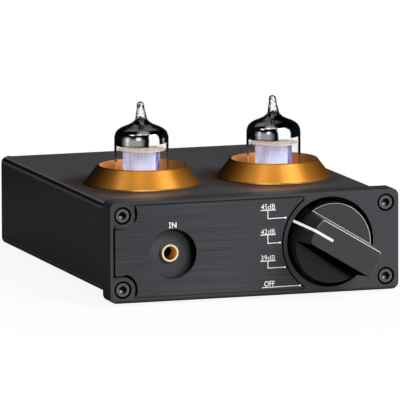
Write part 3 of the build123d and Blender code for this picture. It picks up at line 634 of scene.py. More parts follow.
@dataclass(frozen=True)
class SocketHead(Finish):
    """Blackened steel of the socket screws: grey face, painted shade on the rim and in the hexagon socket,
    and a painted glint with a paler painted light in the socket.

    Attributes:
        color: colour of the head's face.
        reach: distance of the screws from the middle, across and up.
        middle: height of the middle between them.
        face_radius: radius at which the face turns into the rounded rim.
        hex_radius: radius inside which the socket lies.
        glint, pale: places of the painted glint and of the paler painted light in the socket, from its axis.
    """

    color: Color
    reach: Pair
    middle: float
    face_radius: float = 2.15
    hex_radius: float = 1.3
    glint: Pair = (-0.27, -0.8)
    pale: Pair = (0.45, -0.75)

    def shader(self, paint: Paint) -> Wire:
        """Lay the nodes.

        Args:
            paint: the material that takes them.

        Returns:
            The shader.
        """
        x, y, z, where = paint.place()
        facing_out = abs(paint.facing()[1])
        dx, dz = x - x.sign() * self.reach[0], z - self.middle
        dz = dz - dz.sign() * self.reach[1]
        radius = length2(dx, dz)
        grain = paint.noise(where, 3.0, 3.0, 0.6)
        cloud = paint.noise(where, 0.9)
        # painted shade outside the face and in the socket, darker on the socket's walls; painted light in the
        # glint and the pale spot
        face = radius.fall(self.face_radius, self.face_radius + 0.15) * facing_out.rise(0.7, 0.95)
        sunk = radius.fall(self.hex_radius - 0.04, self.hex_radius + 0.04) * y.fall(0.0, 1.0)
        glint = length2(dx - self.glint[0], dz - self.glint[1]).fall(0.25, 0.7) * sunk
        pale = length2(dx - self.pale[0], dz - self.pale[1]).fall(0.3, 0.6) * sunk
        wall = facing_out.fall(0.3, 0.6) * (1.0 - glint)
        factor = (0.02 + face * 1.02) * sunk.dims(0.93) + glint * 6.0 + pale * 0.9
        factor = factor * wall.dims(0.5) * (1.0 + (grain + cloud - 1.0) * 0.5)
        return paint.surface(
            Base_Color=paint.tint(self.color, factor.most(0.03)),
            Roughness=0.9 - face * 0.5 + grain.sway(0.1),
            Metallic=(1.0 - face).most(sunk * (1.0 - glint) * (1.0 - pale)) * 0.9,
            Specular_IOR_Level=0.25,
            Normal=paint.bump(grain, 0.01),
        )


@dataclass(frozen=True)
class KnobBlack(Finish):
    """Satin black of the selector knob, with painted highlights along its sharp edges on the side that faces
    up, and painted shade.

    Attributes:
        color: colour of the faces.
        axis: x and z of the knob's axis.
        front: depth of the grip's face.
        floor: depth of the side cuts.
        rim: radius of the knob where the side cuts end.
        grip_half: half width of the grip bar across its face.
        foot_half: half width of the grip bar at its foot.
        tilt: angle of the bar's white end above 9 o'clock, in degrees.
        highlight_color: colour of the painted highlights on the edges.
        dark_color: colour of what lies in the shade.
    """

    color: Color
    axis: Pair
    front: float
    floor: float
    rim: float
    grip_half: float
    foot_half: float
    tilt: float
    highlight_color: Color = (0.72, 0.72, 0.72)
    dark_color: Color = (0.004, 0.004, 0.004)

    def shader(self, paint: Paint) -> Wire:
        """Lay the nodes.

        Args:
            paint: the material that takes them.

        Returns:
            The shader.
        """
        x, y, z, where = paint.place()
        nx, ny, nz = paint.facing()
        grain = paint.noise(where, 5.0, 3.0, 0.6)
        cloud = paint.noise(where, 0.1)
        relief = paint.bump(grain, 0.01)
        sine, cosine = math.sin(math.radians(self.tilt)), math.cos(math.radians(self.tilt))
        rim, foot, grip = self.rim, self.foot_half, self.grip_half
        dx, dz = x - self.axis[0], z - self.axis[1]
        side = dx * sine + dz * cosine
        along = dz * sine - dx * cosine
        wall_up = nx * sine + nz * cosine
        radius = length2(dx, dz)
        behind = y - self.front
        within = radius.fall(rim - 0.4, rim)
        slanted = abs(ny).fall(0.85, 0.97)

        # painted highlights: bright lines along the edges of the side cut and of the grip bar
        upper = side.rise(foot - 0.1, foot + 0.1)
        at_floor = abs(y - self.floor).fall(0.12, 0.2)
        arc = radius + (dx / radius).rise(0.2, 0.95) * 0.42
        outer_arc = arc.band(rim - 0.11, rim + 0.12, 0.04) * at_floor * upper
        chord = side.band(foot - 0.08, foot + 0.14, 0.03) * at_floor
        thin = behind.fall(0.14, 0.24) * slanted
        front_line = thin * side.rise(grip - 0.6, grip - 0.4)
        end_line = thin * side.rise(0.9, 1.5) * along.rise(2.0, 4.0)
        edge_highlights = (outer_arc * 0.85).most(chord * 0.85).most(front_line).most(end_line * 0.3)

        # painted light on the drafted wall that faces up; painted shade on the end turned away and on the
        # lower cut's floor
        lit_drafted_wall = wall_up.rise(0.8, 0.95) * within
        shaded_end = along.rise(4.0, 6.0) * abs(ny).fall(0.3, 0.6)
        lower = side.fall(-foot - 0.3, -foot) * at_floor
        shade = (1.0 + lit_drafted_wall * 2.2) * shaded_end.dims(0.25) * lower.dims(0.6)

        # painted shade: the grip bar's cast shadow on the lower cut, its lower wall and edge, the gap outside
        # the arc and the upper side of the barrel
        below = side.fall(-foot, -foot + 0.15) * (y - self.floor).rise(-0.5, -0.3)
        cast_shadow = ((0.0 - side - foot) / ((9.8 - along) * 0.14).most(0.05)).fall(0.1, 1.1) * below
        beneath = wall_up.fall(-0.95, -0.8) * within
        outer_black = arc.rise(rim + 0.06, rim + 0.14) * upper
        low_edge = behind.fall(0.26, 0.34) * slanted * side.fall(-grip + 0.4, -grip + 0.6)
        barrel = radius.rise(rim - 0.1, rim + 0.1) * abs(ny).fall(0.5, 0.8) * nz.rise(0.1, 0.6)
        dark = cast_shadow.most(beneath).most(outer_black).most(low_edge).most(barrel * 0.7)

        plain = paint.tint(self.color, (1.0 + (grain + cloud - 1.0) * 0.25) * shade)
        satin = paint.surface(
            Base_Color=paint.blend(edge_highlights, plain, self.highlight_color),
            Roughness=0.42 + cloud.sway(0.1),
            Specular_IOR_Level=0.3,
            Normal=relief,
        )
        matte = paint.matte(paint.tint(self.dark_color, 1.0 + grain.sway(0.3)), Roughness=0.9, Normal=relief)
        return paint.mixed(dark, satin, matte)


@dataclass(frozen=True)
class TurnedGold(Finish):
    """Gold anodised aluminium, turned on a lathe about an upright axis, with a burnished base, darker along
    the rim, and painted shade on its sides and inner wall.

    Attributes:
        color: colour of the metal.
        centre: x and y of the axis.
        base: height of the foot of the cone.
        rim: height of its upper edge.
        hollow: radius inside which the inner wall lies.
        inner_color: colour of that wall.
        base_color: colour of the burnished base.
    """

    color: Color
    centre: Pair
    base: float
    rim: float
    hollow: float
    inner_color: Color = (1.0, 0.42, 0.13)
    base_color: Color = (0.75, 0.42, 0.14)

    def shader(self, paint: Paint) -> Wire:
        """Lay the nodes.

        Args:
            paint: the material that takes them.

        Returns:
            The shader.
        """
        x, y, z, where = paint.place()
        dx, dy = x - self.centre[0], y - self.centre[1]
        radius = length2(dx, dy)
        grain = paint.noise(where, 5.0, 3.0, 0.6)
        marks = paint.noise(paint.point(radius * 6.0, 0.0, z * 6.0), 1.0, 2.0, 0.6)
        cloud = paint.noise(where, 0.12)
        burnished = z.fall(self.base + 0.4, self.base + 0.55)
        worn = 1.0 - burnished
        inner = radius.fall(self.hollow - 0.1, self.hollow)
        outer = 1.0 - inner
        lip = z.rise(self.rim - 0.45, self.rim - 0.3)
        foot = (self.base + 0.5 - z).most(0.0) * outer
        factor = 1.0 + grain.sway(0.12) + worn * marks.sway(0.24) - lip * outer * 0.4
        # painted shade: the cone darker on its left and right sides
        aside = (dx * 0.95 - dy * 0.31) / radius
        sides = (aside.fall(-0.98, -0.55) * 0.75).most(aside.rise(0.7, 1.0) * 0.45) * outer
        # painted light and shade: the inner wall lighter on its left and darker on its right
        inside = paint.tint(self.inner_color, 1.25 - dx.rise(3.0, 13.0) * 0.7)
        turned_color = paint.blend(inner, self.color, inside)
        turned_color = paint.blend(burnished * outer, turned_color, self.base_color)
        return paint.surface(
            Base_Color=paint.tint(turned_color, factor * (1.0 - sides)),
            Roughness=0.36 + grain.sway(0.1) + cloud.sway(0.08) - burnished * 0.1,
            Metallic=0.82 - inner * 0.55,
            Specular_IOR_Level=0.2,
            Coat_Weight=0.5,
            Coat_Roughness=0.3,
            Normal=paint.bump(worn * (marks * 0.007 + grain * 0.005) + foot, 1.0),
        )


@dataclass(frozen=True)
class JackGold(Finish):
    """Gold plating of the jack's barrel: a pale polished lip round a deep brown bore, with painted light and
    a painted glow on the bore's right side near the mouth.

    Attributes:
        color: colour of the lip.
        axis: x and z of the bore's axis.
        mouth: depth of the barrel's mouth.
        bore: radius at which the lip turns into the bore.
        bore_color: colour of the bore.
    """

    color: Color
    axis: Pair
    mouth: float
    bore: float
    bore_color: Color = (0.3, 0.11, 0.012)

    def shader(self, paint: Paint) -> Wire:
        """Lay the nodes.

        Args:
            paint: the material that takes them.

        Returns:
            The shader.
        """
        x, y, z, where = paint.place()
        dx, dz = x - self.axis[0], z - self.axis[1]
        inner = length2(dx, dz).fall(self.bore - 0.12, self.bore + 0.06)
        grain = paint.noise(where, 2.0)
        # painted light: the bore lighter and glowing on its right side near the mouth, darker deeper in
        lit = (dx / self.bore).rise(-0.3, 0.9) * (y - self.mouth).fall(1.0, 7.0)
        plated = paint.tint(self.color, 1.0 + grain.sway(0.1))
        brown = paint.tint(self.bore_color, 0.3 + lit * 0.7)
        return paint.surface(
            Base_Color=paint.blend(inner, plated, brown),
            Roughness=0.2 + grain.sway(0.06) + inner * 0.2,
            Metallic=0.9,
            Emission_Color=paint.tint(self.bore_color, inner * lit * 0.8),
            Emission_Strength=1.0,
            Normal=paint.bump(grain, 0.004),
        )


@dataclass(frozen=True)
class ValveGlass(Finish):
    """Clear blown glass: see-through where it faces the eye, glossy at its edges.

    Attributes:
        neck: height at which the drawn-out tip begins, which is thick, lumpy glass.
        clear_color: what the glass lets through.
        tip_color: brightness of the tip's reflections, which are painted dark.
        face_gloss: share of gloss where the glass is seen straight on.
        edge_gloss: share of gloss where it is seen edge on.
    """

    neck: float
    clear_color: Color = (0.985, 0.99, 0.99)
    tip_color: Color = (0.12, 0.12, 0.12)
    face_gloss: float = 0.03
    edge_gloss: float = 0.95

    def shader(self, paint: Paint) -> Wire:
        """Lay the nodes.

        Args:
            paint: the material that takes them.

        Returns:
            The shader.
        """
        _, _, z, where = paint.place()
        nx, _, _ = paint.facing()
        tip = z.rise(self.neck - 0.4, self.neck + 0.6)
        lumps = paint.noise(where, 0.9, 2.0, 0.6)
        normal = paint.bump(paint.noise(where, 0.35, 1.0) + tip * lumps * 8.0, 0.05)
        clear = paint.node("ShaderNodeBsdfTransparent", {}, {"Color": self.clear_color})["BSDF"]
        # the tip's gloss is a dark mirror, stronger on the side towards +X: painted dark reflections
        mirror = paint.blend(tip, WHITE, self.tip_color)
        gloss = paint.surface(Base_Color=mirror, Metallic=1.0, Roughness=0.02, Normal=normal)
        turned_off = paint.node("ShaderNodeLayerWeight", {}, {"Blend": 0.5, "Normal": normal})["Facing"]
        edge = (turned_off + tip * (0.42 + nx * 0.3 + lumps.sway(1.6))).rise(0.58, 0.76)
        return paint.mixed(edge * (self.edge_gloss - self.face_gloss) + self.face_gloss, clear, gloss)


@dataclass(frozen=True)
class GetterMirror(Finish):
    """Silver film that the fired getter leaves inside the bulb, browner and thinner at its lower edge.

    Attributes:
        low: height at which the film begins.
        crown: height above which it is painted darkest, a painted dark reflection.
        edge_color, film_color, shoulder_color, crown_color: its colours from the lower edge up.
    """

    low: float
    crown: float
    edge_color: Color = (0.28, 0.2, 0.15)
    film_color: Color = (0.78, 0.78, 0.8)
    shoulder_color: Color = (0.13, 0.13, 0.135)
    crown_color: Color = (0.03, 0.03, 0.033)

    def shader(self, paint: Paint) -> Wire:
        """Lay the nodes.

        Args:
            paint: the material that takes them.

        Returns:
            The shader.
        """
        _, _, z, where = paint.place()
        cloud = paint.noise(where, 0.3)
        above_edge = (z - self.low + cloud.sway(0.8)).rise(0.1, 0.9)
        # painted dark reflections: the film darker on the shoulder and darkest on the crown
        silver = paint.blend(z.rise(self.crown - 1.8, self.crown - 1.3), self.film_color, self.shoulder_color)
        silver = paint.blend(z.rise(self.crown - 0.6, self.crown), silver, self.crown_color)
        return paint.surface(
            Base_Color=paint.blend(above_edge, self.edge_color, silver),
            Roughness=0.05 + cloud.sway(0.06),
            Metallic=1.0,
            Normal=paint.bump(cloud, 0.08),
        )


@dataclass(frozen=True)
class AnodeSheet(Finish):
    """Rolled sheet of the anode: pale violet metal with upright rolling marks, a dark lap, a painted shadow
    of the mica along its top and a painted glow.

    Attributes:
        color: colour of the sheet.
        seam_x: where the dark violet lap of the sheet begins, right of the middle.
        top: height of its upper edge, where the mica's shadow is painted.
        seam_color: colour of the lap.
    """

    color: Color
    seam_x: float
    top: float
    seam_color: Color = (0.09, 0.04, 0.27)

    def shader(self, paint: Paint) -> Wire:
        """Lay the nodes.

        Args:
            paint: the material that takes them.

        Returns:
            The shader.
        """
        x, y, z, where = paint.place()
        marks = paint.noise(paint.point(x * 2.2, y * 2.2, z * 0.15), 1.0, 3.0, 0.6)
        grain = paint.noise(where, 3.0)
        ragged = paint.noise(where, 0.9).sway(0.8)
        seam = (x - self.seam_x + ragged).rise(-0.3, 0.3) * (marks - 0.2).rise(0.0, 0.4)
        # painted shadow of the mica along the top
        shade = z.rise(self.top - 1.3, self.top - 0.2).dims(0.5)
        sheet = paint.tint(self.color, (1.0 + marks.sway(0.6) + grain.sway(0.15)) * shade)
        color = paint.blend(seam, sheet, self.seam_color)
        return paint.surface(
            Base_Color=color,
            Roughness=0.38 + marks.sway(0.2),
            Metallic=0.15,
            # painted glow, which keeps the sheet bright inside the bulb
            Emission_Color=paint.tint(color, 0.35 + marks.sway(0.2)),
            Emission_Strength=1.0,
            Normal=paint.bump(marks, 0.03),
        )


@dataclass(frozen=True)
class Mica(Finish):
    """Cleaved mica of the electrode spacers, warm, with a painted glow for light that comes through it.

    Attributes:
        color: mean colour.
        glow: painted glow for the light that comes through it, as a share of its colour.
    """

    color: Color
    glow: float = 0.35

    def shader(self, paint: Paint) -> Wire:
        """Lay the nodes.

        Args:
            paint: the material that takes them.

        Returns:
            The shader.
        """
        x, y, z, _ = paint.place()
        flakes = paint.noise(paint.point(x, y, z * 4.0), 0.8, 3.0, 0.6)
        color = paint.tint(self.color, 1.0 + flakes.sway(0.2))
        return paint.surface(
            Base_Color=color,
            Roughness=0.25 + flakes.sway(0.2),
            # painted glow
            Emission_Color=paint.tint(color, self.glow + flakes.sway(0.1)),
            Emission_Strength=1.0,
            Normal=paint.bump(flakes, 0.02),
        )


# ------------------------------------------------------------------ meshes
def linked(name: str, data: bpy.types.ID) -> bpy.types.Object:
    """Make an object in the scene.

    Args:
        name: its name.
        data: its mesh, curve, lamp or camera.

    Returns:
        The object.
    """
    made = bpy.data.objects.new(name, data)
    bpy.context.scene.collection.objects.link(made)
    return made


def mesh_piece(
    name: str,
    points: Sequence[Point],
    faces: Faces,
    material: bpy.types.Material,
    smooth_angle: float | None = None,
) -> bpy.types.Object:
    """Make a mesh object.

    Args:
        name: name of the piece.
        points: corners in millimetres.
        faces: corner numbers of each face.
        material: what it is made of.
        smooth_angle: edges sharper than this stay sharp, in degrees; None leaves every face flat.

    Returns:
        The object, linked to the scene.
    """
    mesh = bpy.data.meshes.new(name)
    mesh.from_pydata([tuple(c * MM for c in p) for p in points], [], faces)
    mesh.validate()
    work = bmesh.new()
    work.from_mesh(mesh)
    bmesh.ops.recalc_face_normals(work, faces=work.faces)
    work.to_mesh(mesh)
    work.free()
    mesh.materials.append(material)
    if smooth_angle is not None:
        mesh.shade_smooth()
        mesh.set_sharp_from_angle(angle=math.radians(smooth_angle))
    return linked(name, mesh)


def turned(
    profile: Sequence[Pair],
    centre: Pair,
    steps: int,
    closed: bool = True,
    warp: Callable[[float, float, float], Point] = lambda radius, angle, height: (0.0, 0.0, 0.0),
) -> tuple[list[Point], Faces]:
    """Turn a half section about an upright axis.

    Args:
        profile: (radius, height) pairs in millimetres; radius 0 makes a single point.
        centre: x and y of the axis.
        steps: number of segments round the axis.
        closed: whether the last pair joins the first.
        warp: gives the shift of a point from its radius, angle and height.

    Returns:
        Points and faces.
    """
    points: list[Point] = []
    rows: list[list[int]] = []
    for radius, height in profile:
        count = 1 if radius < 1e-6 else steps
        rows.append(list(range(len(points), len(points) + count)))
        for step in range(count):
            angle = 2 * math.pi * step / steps
            x, y, z = warp(radius, angle, height)
            x, y = x + radius * math.cos(angle), y + radius * math.sin(angle)
            points.append((centre[0] + x, centre[1] + y, height + z))
    faces: Faces = []
    for low, high in zip(rows, [*rows[1:], rows[0]] if closed else rows[1:]):
        for step in range(steps if len(low) + len(high) > 2 else 0):
            after = (step + 1) % steps
            places = ((low, step), (low, after), (high, after), (high, step))
            faces.append(tuple(dict.fromkeys(row[turn % len(row)] for row, turn in places)))
    return points, faces


def eased(points: Sequence[Pair], between: int) -> list[Pair]:
    """Pass a smooth line through the given points.

    Args:
        points: the points to pass through.
        between: number of steps from one to the next.

    Returns:
        The finer line, ends included.
    """

    def spline(p: float, q: float, r: float, s: float, t: float) -> float:
        """Value between q and r, at the share t of the way."""
        square, cube = 2 * p - 5 * q + 4 * r - s, 3 * q - p - 3 * r + s
        return 0.5 * (2 * q + (r - p) * t + square * t * t + cube * t * t * t)

    line: list[Pair] = []
    padded = [points[0], *points, points[-1]]
    for four in zip(padded, padded[1:], padded[2:], padded[3:]):
        for step in range(between):
            line.append(tuple(spline(*values, step / between) for values in zip(*four)))
    return [*line, points[-1]]


class Dresser:
    """Hands finishes to model nodes, lets new pieces ride on bodies, and reports each of them."""

    def __init__(self, frame: dict) -> None:
        """Keep the loaded model."""
        self.nodes = frame["nodes"]

    def dress(self, finish: Finish, *names: str) -> bpy.types.Material:
        """Give model nodes a material.

        Args:
            finish: the finish.
            names: nodes that take it.

        Returns:
            The material.
        """
        material = finish.material()
        for name in names:
            slots = self.nodes[name].data.materials
            slots.clear()
            slots.append(material)
            log.info("node %s: %s", name, material.name)
        return material

    def add(self, piece: bpy.types.Object, body: str, slot: str, *replaced: str) -> None:
        """Let a new piece ride on a body.

        Args:
            piece: the piece.
            body: body that carries it.
            slot: material slot of the record that it belongs to; not used.
            replaced: model nodes that it stands for.
        """
        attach(piece, body)
        if replaced:
            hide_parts(*replaced)
        log.info("piece %s on %s", piece.name, body)


# ------------------------------------------------------------------ sub-assemblies
class Side(Enum):
    """The two channels, named by where they stand seen from the front."""

    LEFT = "left"
    RIGHT = "right"


@dataclass
class Enclosure:
    """Case, front panel, rear plate, screws and feet.

    Attributes:
        pocket_depth: depth of the panel's brushed pocket.
        pocket_inset: its distance from the panel's left, lower and upper edge.
        pocket_right: place of its right end.
        arc_x: place of the centre of the arc that cuts its right end off.
        arc_radius: radius of that arc.
        screw_inset: distance of a corner screw from the panel's edges.
        screw_arc: radius of the pocket's arcs round the left screws.
        recess_radius: radius of the recess round the jack.
    """

    pocket_depth: float = 0.5
    pocket_inset: tuple[float, float, float] = (1.5, 1.45, 1.05)
    pocket_right: float = 17.2
    arc_x: float = 27.5
    arc_radius: float = 17.6
    screw_inset: float = 4.5
    screw_arc: float = 4.2
    recess_radius: float = 8.2

    def build(self, shop: Dresser) -> None:
        """Dress the nodes of the enclosure.

        Args:
            shop: gives out the finishes.
        """
        rings = [Span(f"ring_{side.value}") for side in Side]
        axes = tuple(ring.middle[:2] for ring in rings)
        foot = (rings[0].high[0] - rings[0].low[0]) / 2
        shop.dress(EdgedBlack("case_black", (0.078, 0.079, 0.086), axes, foot), "case_shell", "rear_plate")
        panel = Span("front_panel")
        left, _, bottom = panel.low
        right, _, top = panel.high
        middle = panel.middle[2]
        pocket = Pocket(
            depth=self.pocket_depth,
            left=left + self.pocket_inset[0],
            right=self.pocket_right,
            bottom=bottom + self.pocket_inset[1],
            top=top - self.pocket_inset[2],
            arc_x=self.arc_x,
            arc_z=middle,
            arc_radius=self.arc_radius,
            screw_x=left + self.screw_inset,
            screw_z=(bottom + self.screw_inset, top - self.screw_inset),
            screw_radius=self.screw_arc,
        )
        barrel = Span("jack_barrel").middle
        recess = (barrel[0], barrel[2], self.recess_radius)
        shop.dress(BrushedPanel("panel_black", (0.049, 0.05, 0.056), panel, pocket, recess), "front_panel")
        reach = (right - self.screw_inset, top - middle - self.screw_inset)
        steel = SocketHead("black_steel", (0.105, 0.105, 0.108), reach, middle)
        shop.dress(steel, "front_screws", "rear_screws")
        rubber = Coating("rubber_black", (0.02, 0.02, 0.02), 0.75, specular=0.3, grain_depth=0.03)
        shop.dress(rubber, *[f"foot_{end}_{side.value}" for end in ("front", "rear") for side in Side])


@dataclass(frozen=True)
class Legend:
    """One printed word.

    Attributes:
        name: name of its piece.
        text: what it says.
        left, right, bottom, top: the box that the letters fill.
        weight: how far the letters are thickened, in shares of the type's size.
    """

    name: str
    text: str
    left: float
    right: float
    bottom: float
    top: float
    weight: float


@dataclass
class DialPrint:
    """White print on the front panel: the gain settings with their leaders and dots, and the jack's word.

    Attributes:
        face_y: depth of the printed surface.
        base_z: height of the panel's lower edge.
        thick: thickness of the ink.
        stroke: width of a leader.
        dot_radius: radius of the dots.
        dot_steps: number of a dot's edges.
        dots_from: a line that ends further right than this ends in a dot.
        words: the words.
        lines: underlines and leaders, and the first letter of the jack's word, as x and z of their corners.
    """

    face_y: float = -59.5
    base_z: float = 1.15
    thick: float = 0.03
    stroke: float = 0.26
    dot_radius: float = 0.31
    dot_steps: int = 20
    dots_from: float = 8.0
    words: tuple[Legend, ...] = (
        Legend("print_45dB", "45dB", 2.3, 7.15, 28.55, 30.35, -0.004),
        Legend("print_42dB", "42dB", 2.2, 7.1, 20.35, 22.0, -0.006),
        Legend("print_39dB", "39dB", 2.2, 7.1, 11.65, 13.35, -0.008),
        Legend("print_off", "OFF", 3.36, 6.93, 2.95, 4.8, 0.012),
        Legend("print_in", "N", -28.5, -26.88, 24.1, 25.98, 0.02),
    )
    lines: tuple[tuple[Pair, ...], ...] = (
        ((2.25, 28.3), (7.25, 28.3)),
        ((4.66, 28.3), (4.66, 25.5), (10.79, 25.56)),
        ((2.2, 20.15), (7.2, 20.15)),
        ((4.64, 20.15), (4.64, 17.3), (8.87, 17.36)),
        ((2.2, 11.45), (7.15, 11.45)),
        ((4.62, 11.45), (4.62, 9.1), (10.44, 9.14)),
        ((2.73, 2.69), (15.74, 2.77)),
        ((-29.38, 24.24), (-28.94, 24.24)),
        ((-29.38, 25.84), (-28.94, 25.84)),
        ((-29.16, 24.24), (-29.16, 25.84)),
    )

    def word(self, legend: Legend, ink: bpy.types.Material) -> bpy.types.Object:
        """Cut one word out of a thin layer of ink.

        Args:
            legend: the word and its place.
            ink: the finish.

        Returns:
            The piece.
        """
        curve = bpy.data.curves.new(legend.name + ".curve", "FONT")
        curve.body = legend.text
        curve.offset = legend.weight
        curve.extrude = 0.01
        curve.resolution_u = 4
        holder = linked(legend.name + ".curve", curve)
        bpy.context.view_layer.update()
        mesh = bpy.data.meshes.new_from_object(holder.evaluated_get(bpy.context.evaluated_depsgraph_get()))
        bpy.data.objects.remove(holder)
        columns = list(zip(*(vertex.co for vertex in mesh.vertices)))
        low, high = [min(column) for column in columns], [max(column) for column in columns]
        for vertex in mesh.vertices:
            x, up, out = ((c - a) / (b - a) for c, a, b in zip(vertex.co, low, high))
            vertex.co = (
                (legend.left + x * (legend.right - legend.left)) * MM,
                (self.face_y - out * self.thick) * MM,
                (self.base_z + legend.bottom + up * (legend.top - legend.bottom)) * MM,
            )
        mesh.name = legend.name
        mesh.materials.clear()
        mesh.materials.append(ink)
        return linked(legend.name, mesh)

    def outlines(self) -> list[list[Pair]]:
        """Outlines of the strokes and dots.

        Returns:
            The corners of each, as x and height above the panel's lower edge.
        """
        found = []
        half = self.stroke / 2
        turns = [2 * math.pi * step / self.dot_steps for step in range(self.dot_steps)]
        for line in self.lines:
            for (x0, z0), (x1, z1) in zip(line, line[1:]):
                size = math.hypot(x1 - x0, z1 - z0)
                ux, uz = (x1 - x0) / size * half, (z1 - z0) / size * half
                start = [(x0 - ux - uz, z0 - uz + ux), (x0 - ux + uz, z0 - uz - ux)]
                found.append([*start, (x1 + ux + uz, z1 + uz - ux), (x1 + ux - uz, z1 + uz + ux)])
            x, z = line[-1]
            if x > self.dots_from:
                radius = self.dot_radius
                found.append([(x + radius * math.cos(t), z + radius * math.sin(t)) for t in turns])
        return found

    def strokes(self, ink: bpy.types.Material) -> bpy.types.Object:
        """Draw the strokes and dots as one thin mesh.

        Args:
            ink: the finish.

        Returns:
            The piece.
        """
        points: list[Point] = []
        faces: Faces = []
        for corners in self.outlines():
            start, count = len(points), len(corners)
            for depth in (self.face_y, self.face_y - self.thick):
                points.extend((x, depth, self.base_z + z) for x, z in corners)
            faces.append(tuple(range(start, start + count)))
            faces.append(tuple(range(start + 2 * count - 1, start + count - 1, -1)))
            for step in range(count):
                after = (step + 1) % count
                faces.append((start + step, start + after, start + count + after, start + count + step))
        return mesh_piece("print_leaders", points, faces, ink)

    def build(self, shop: Dresser) -> None:
        """Make the words and strokes.

        Args:
            shop: lets them ride on the chassis.
        """
        ink = Ink("print_white", (0.9, 0.9, 0.9), 0.3).material()
        for piece in [*(self.word(legend, ink) for legend in self.words), self.strokes(ink)]:
            shop.add(piece, "chassis", "pointer_white")


@dataclass
class Selector:
    """Gain selector: knob with its grip bar and white line, shaft, nut and rotary switch.

    Attributes:
        floor_out: how far the floor of the side cuts stands before the panel.
        rim: radius of the knob there.
        grip_half: half width of the grip bar across its face.
        foot_half: half width of the bar at its foot.
        tilt: angle of the bar's white end above 9 o'clock, in degrees.
    """

    floor_out: float = 3.4
    rim: float = 13.21
    grip_half: float = 4.6
    foot_half: float = 5.7
    tilt: float = 31.0

    def build(self, shop: Dresser) -> None:
        """Dress the selector's nodes.

        Args:
            shop: gives out the finishes.
        """
        knob = Span("knob")
        black = KnobBlack(
            "knob_black",
            (0.044, 0.044, 0.044),
            axis=(knob.middle[0], knob.middle[2]),
            front=knob.low[1],
            floor=Span("front_panel").low[1] - self.floor_out,
            rim=self.rim,
            grip_half=self.grip_half,
            foot_half=self.foot_half,
            tilt=self.tilt,
        )
        shop.dress(black, "knob")
        shop.dress(Ink("pointer_white", (0.9, 0.9, 0.9), 0.25, 0.5), "knob_pointer")
        nickel = Coating("nickel", (0.72, 0.7, 0.66), 0.18, metallic=1.0, variation=0.05)
        shop.dress(nickel, "switch_shaft", "switch_bushing", "switch_nut", "inlet_pin")
        steel = Coating("steel_grey", (0.45, 0.45, 0.46), 0.35, metallic=1.0, variation=0.08)
        shop.dress(steel, "switch_body")


@dataclass
class Sockets:
    """Front jack, and the rear's phono sockets, earth post and power inlet.

    Attributes:
        bore: radius at which the front jack's lip turns into its bore.
    """

    bore: float = 2.28

    def build(self, shop: Dresser) -> None:
        """Dress the connectors.

        Args:
            shop: gives out the finishes.
        """
        gold = Coating("gold_plated", (0.95, 0.64, 0.27), 0.16, metallic=1.0, variation=0.04)
        shells = [f"phono_{pair}_{side.value}_shell" for pair in ("input", "output") for side in Side]
        shop.dress(gold, "phono_contacts", "earth_post", "earth_washer", "earth_nut", *shells)
        barrel = Span("jack_barrel")
        axis = (barrel.middle[0], barrel.middle[2])
        shop.dress(JackGold("jack_gold", (1.0, 0.86, 0.6), axis, barrel.low[1], self.bore), "jack_barrel")
        black = Coating("plastic_black", (0.02, 0.02, 0.021), 0.5, grain_depth=0.02)
        shop.dress(black, "jack_body", "phono_input_block", "phono_output_block", "inlet_body")
        white = Coating("plastic_white", (0.8, 0.8, 0.77), 0.35, variation=0.03)
        shop.dress(white, "phono_left_insulators")
        red = Coating("plastic_red", (0.5, 0.025, 0.02), 0.35, variation=0.06)
        shop.dress(red, "phono_right_insulators")


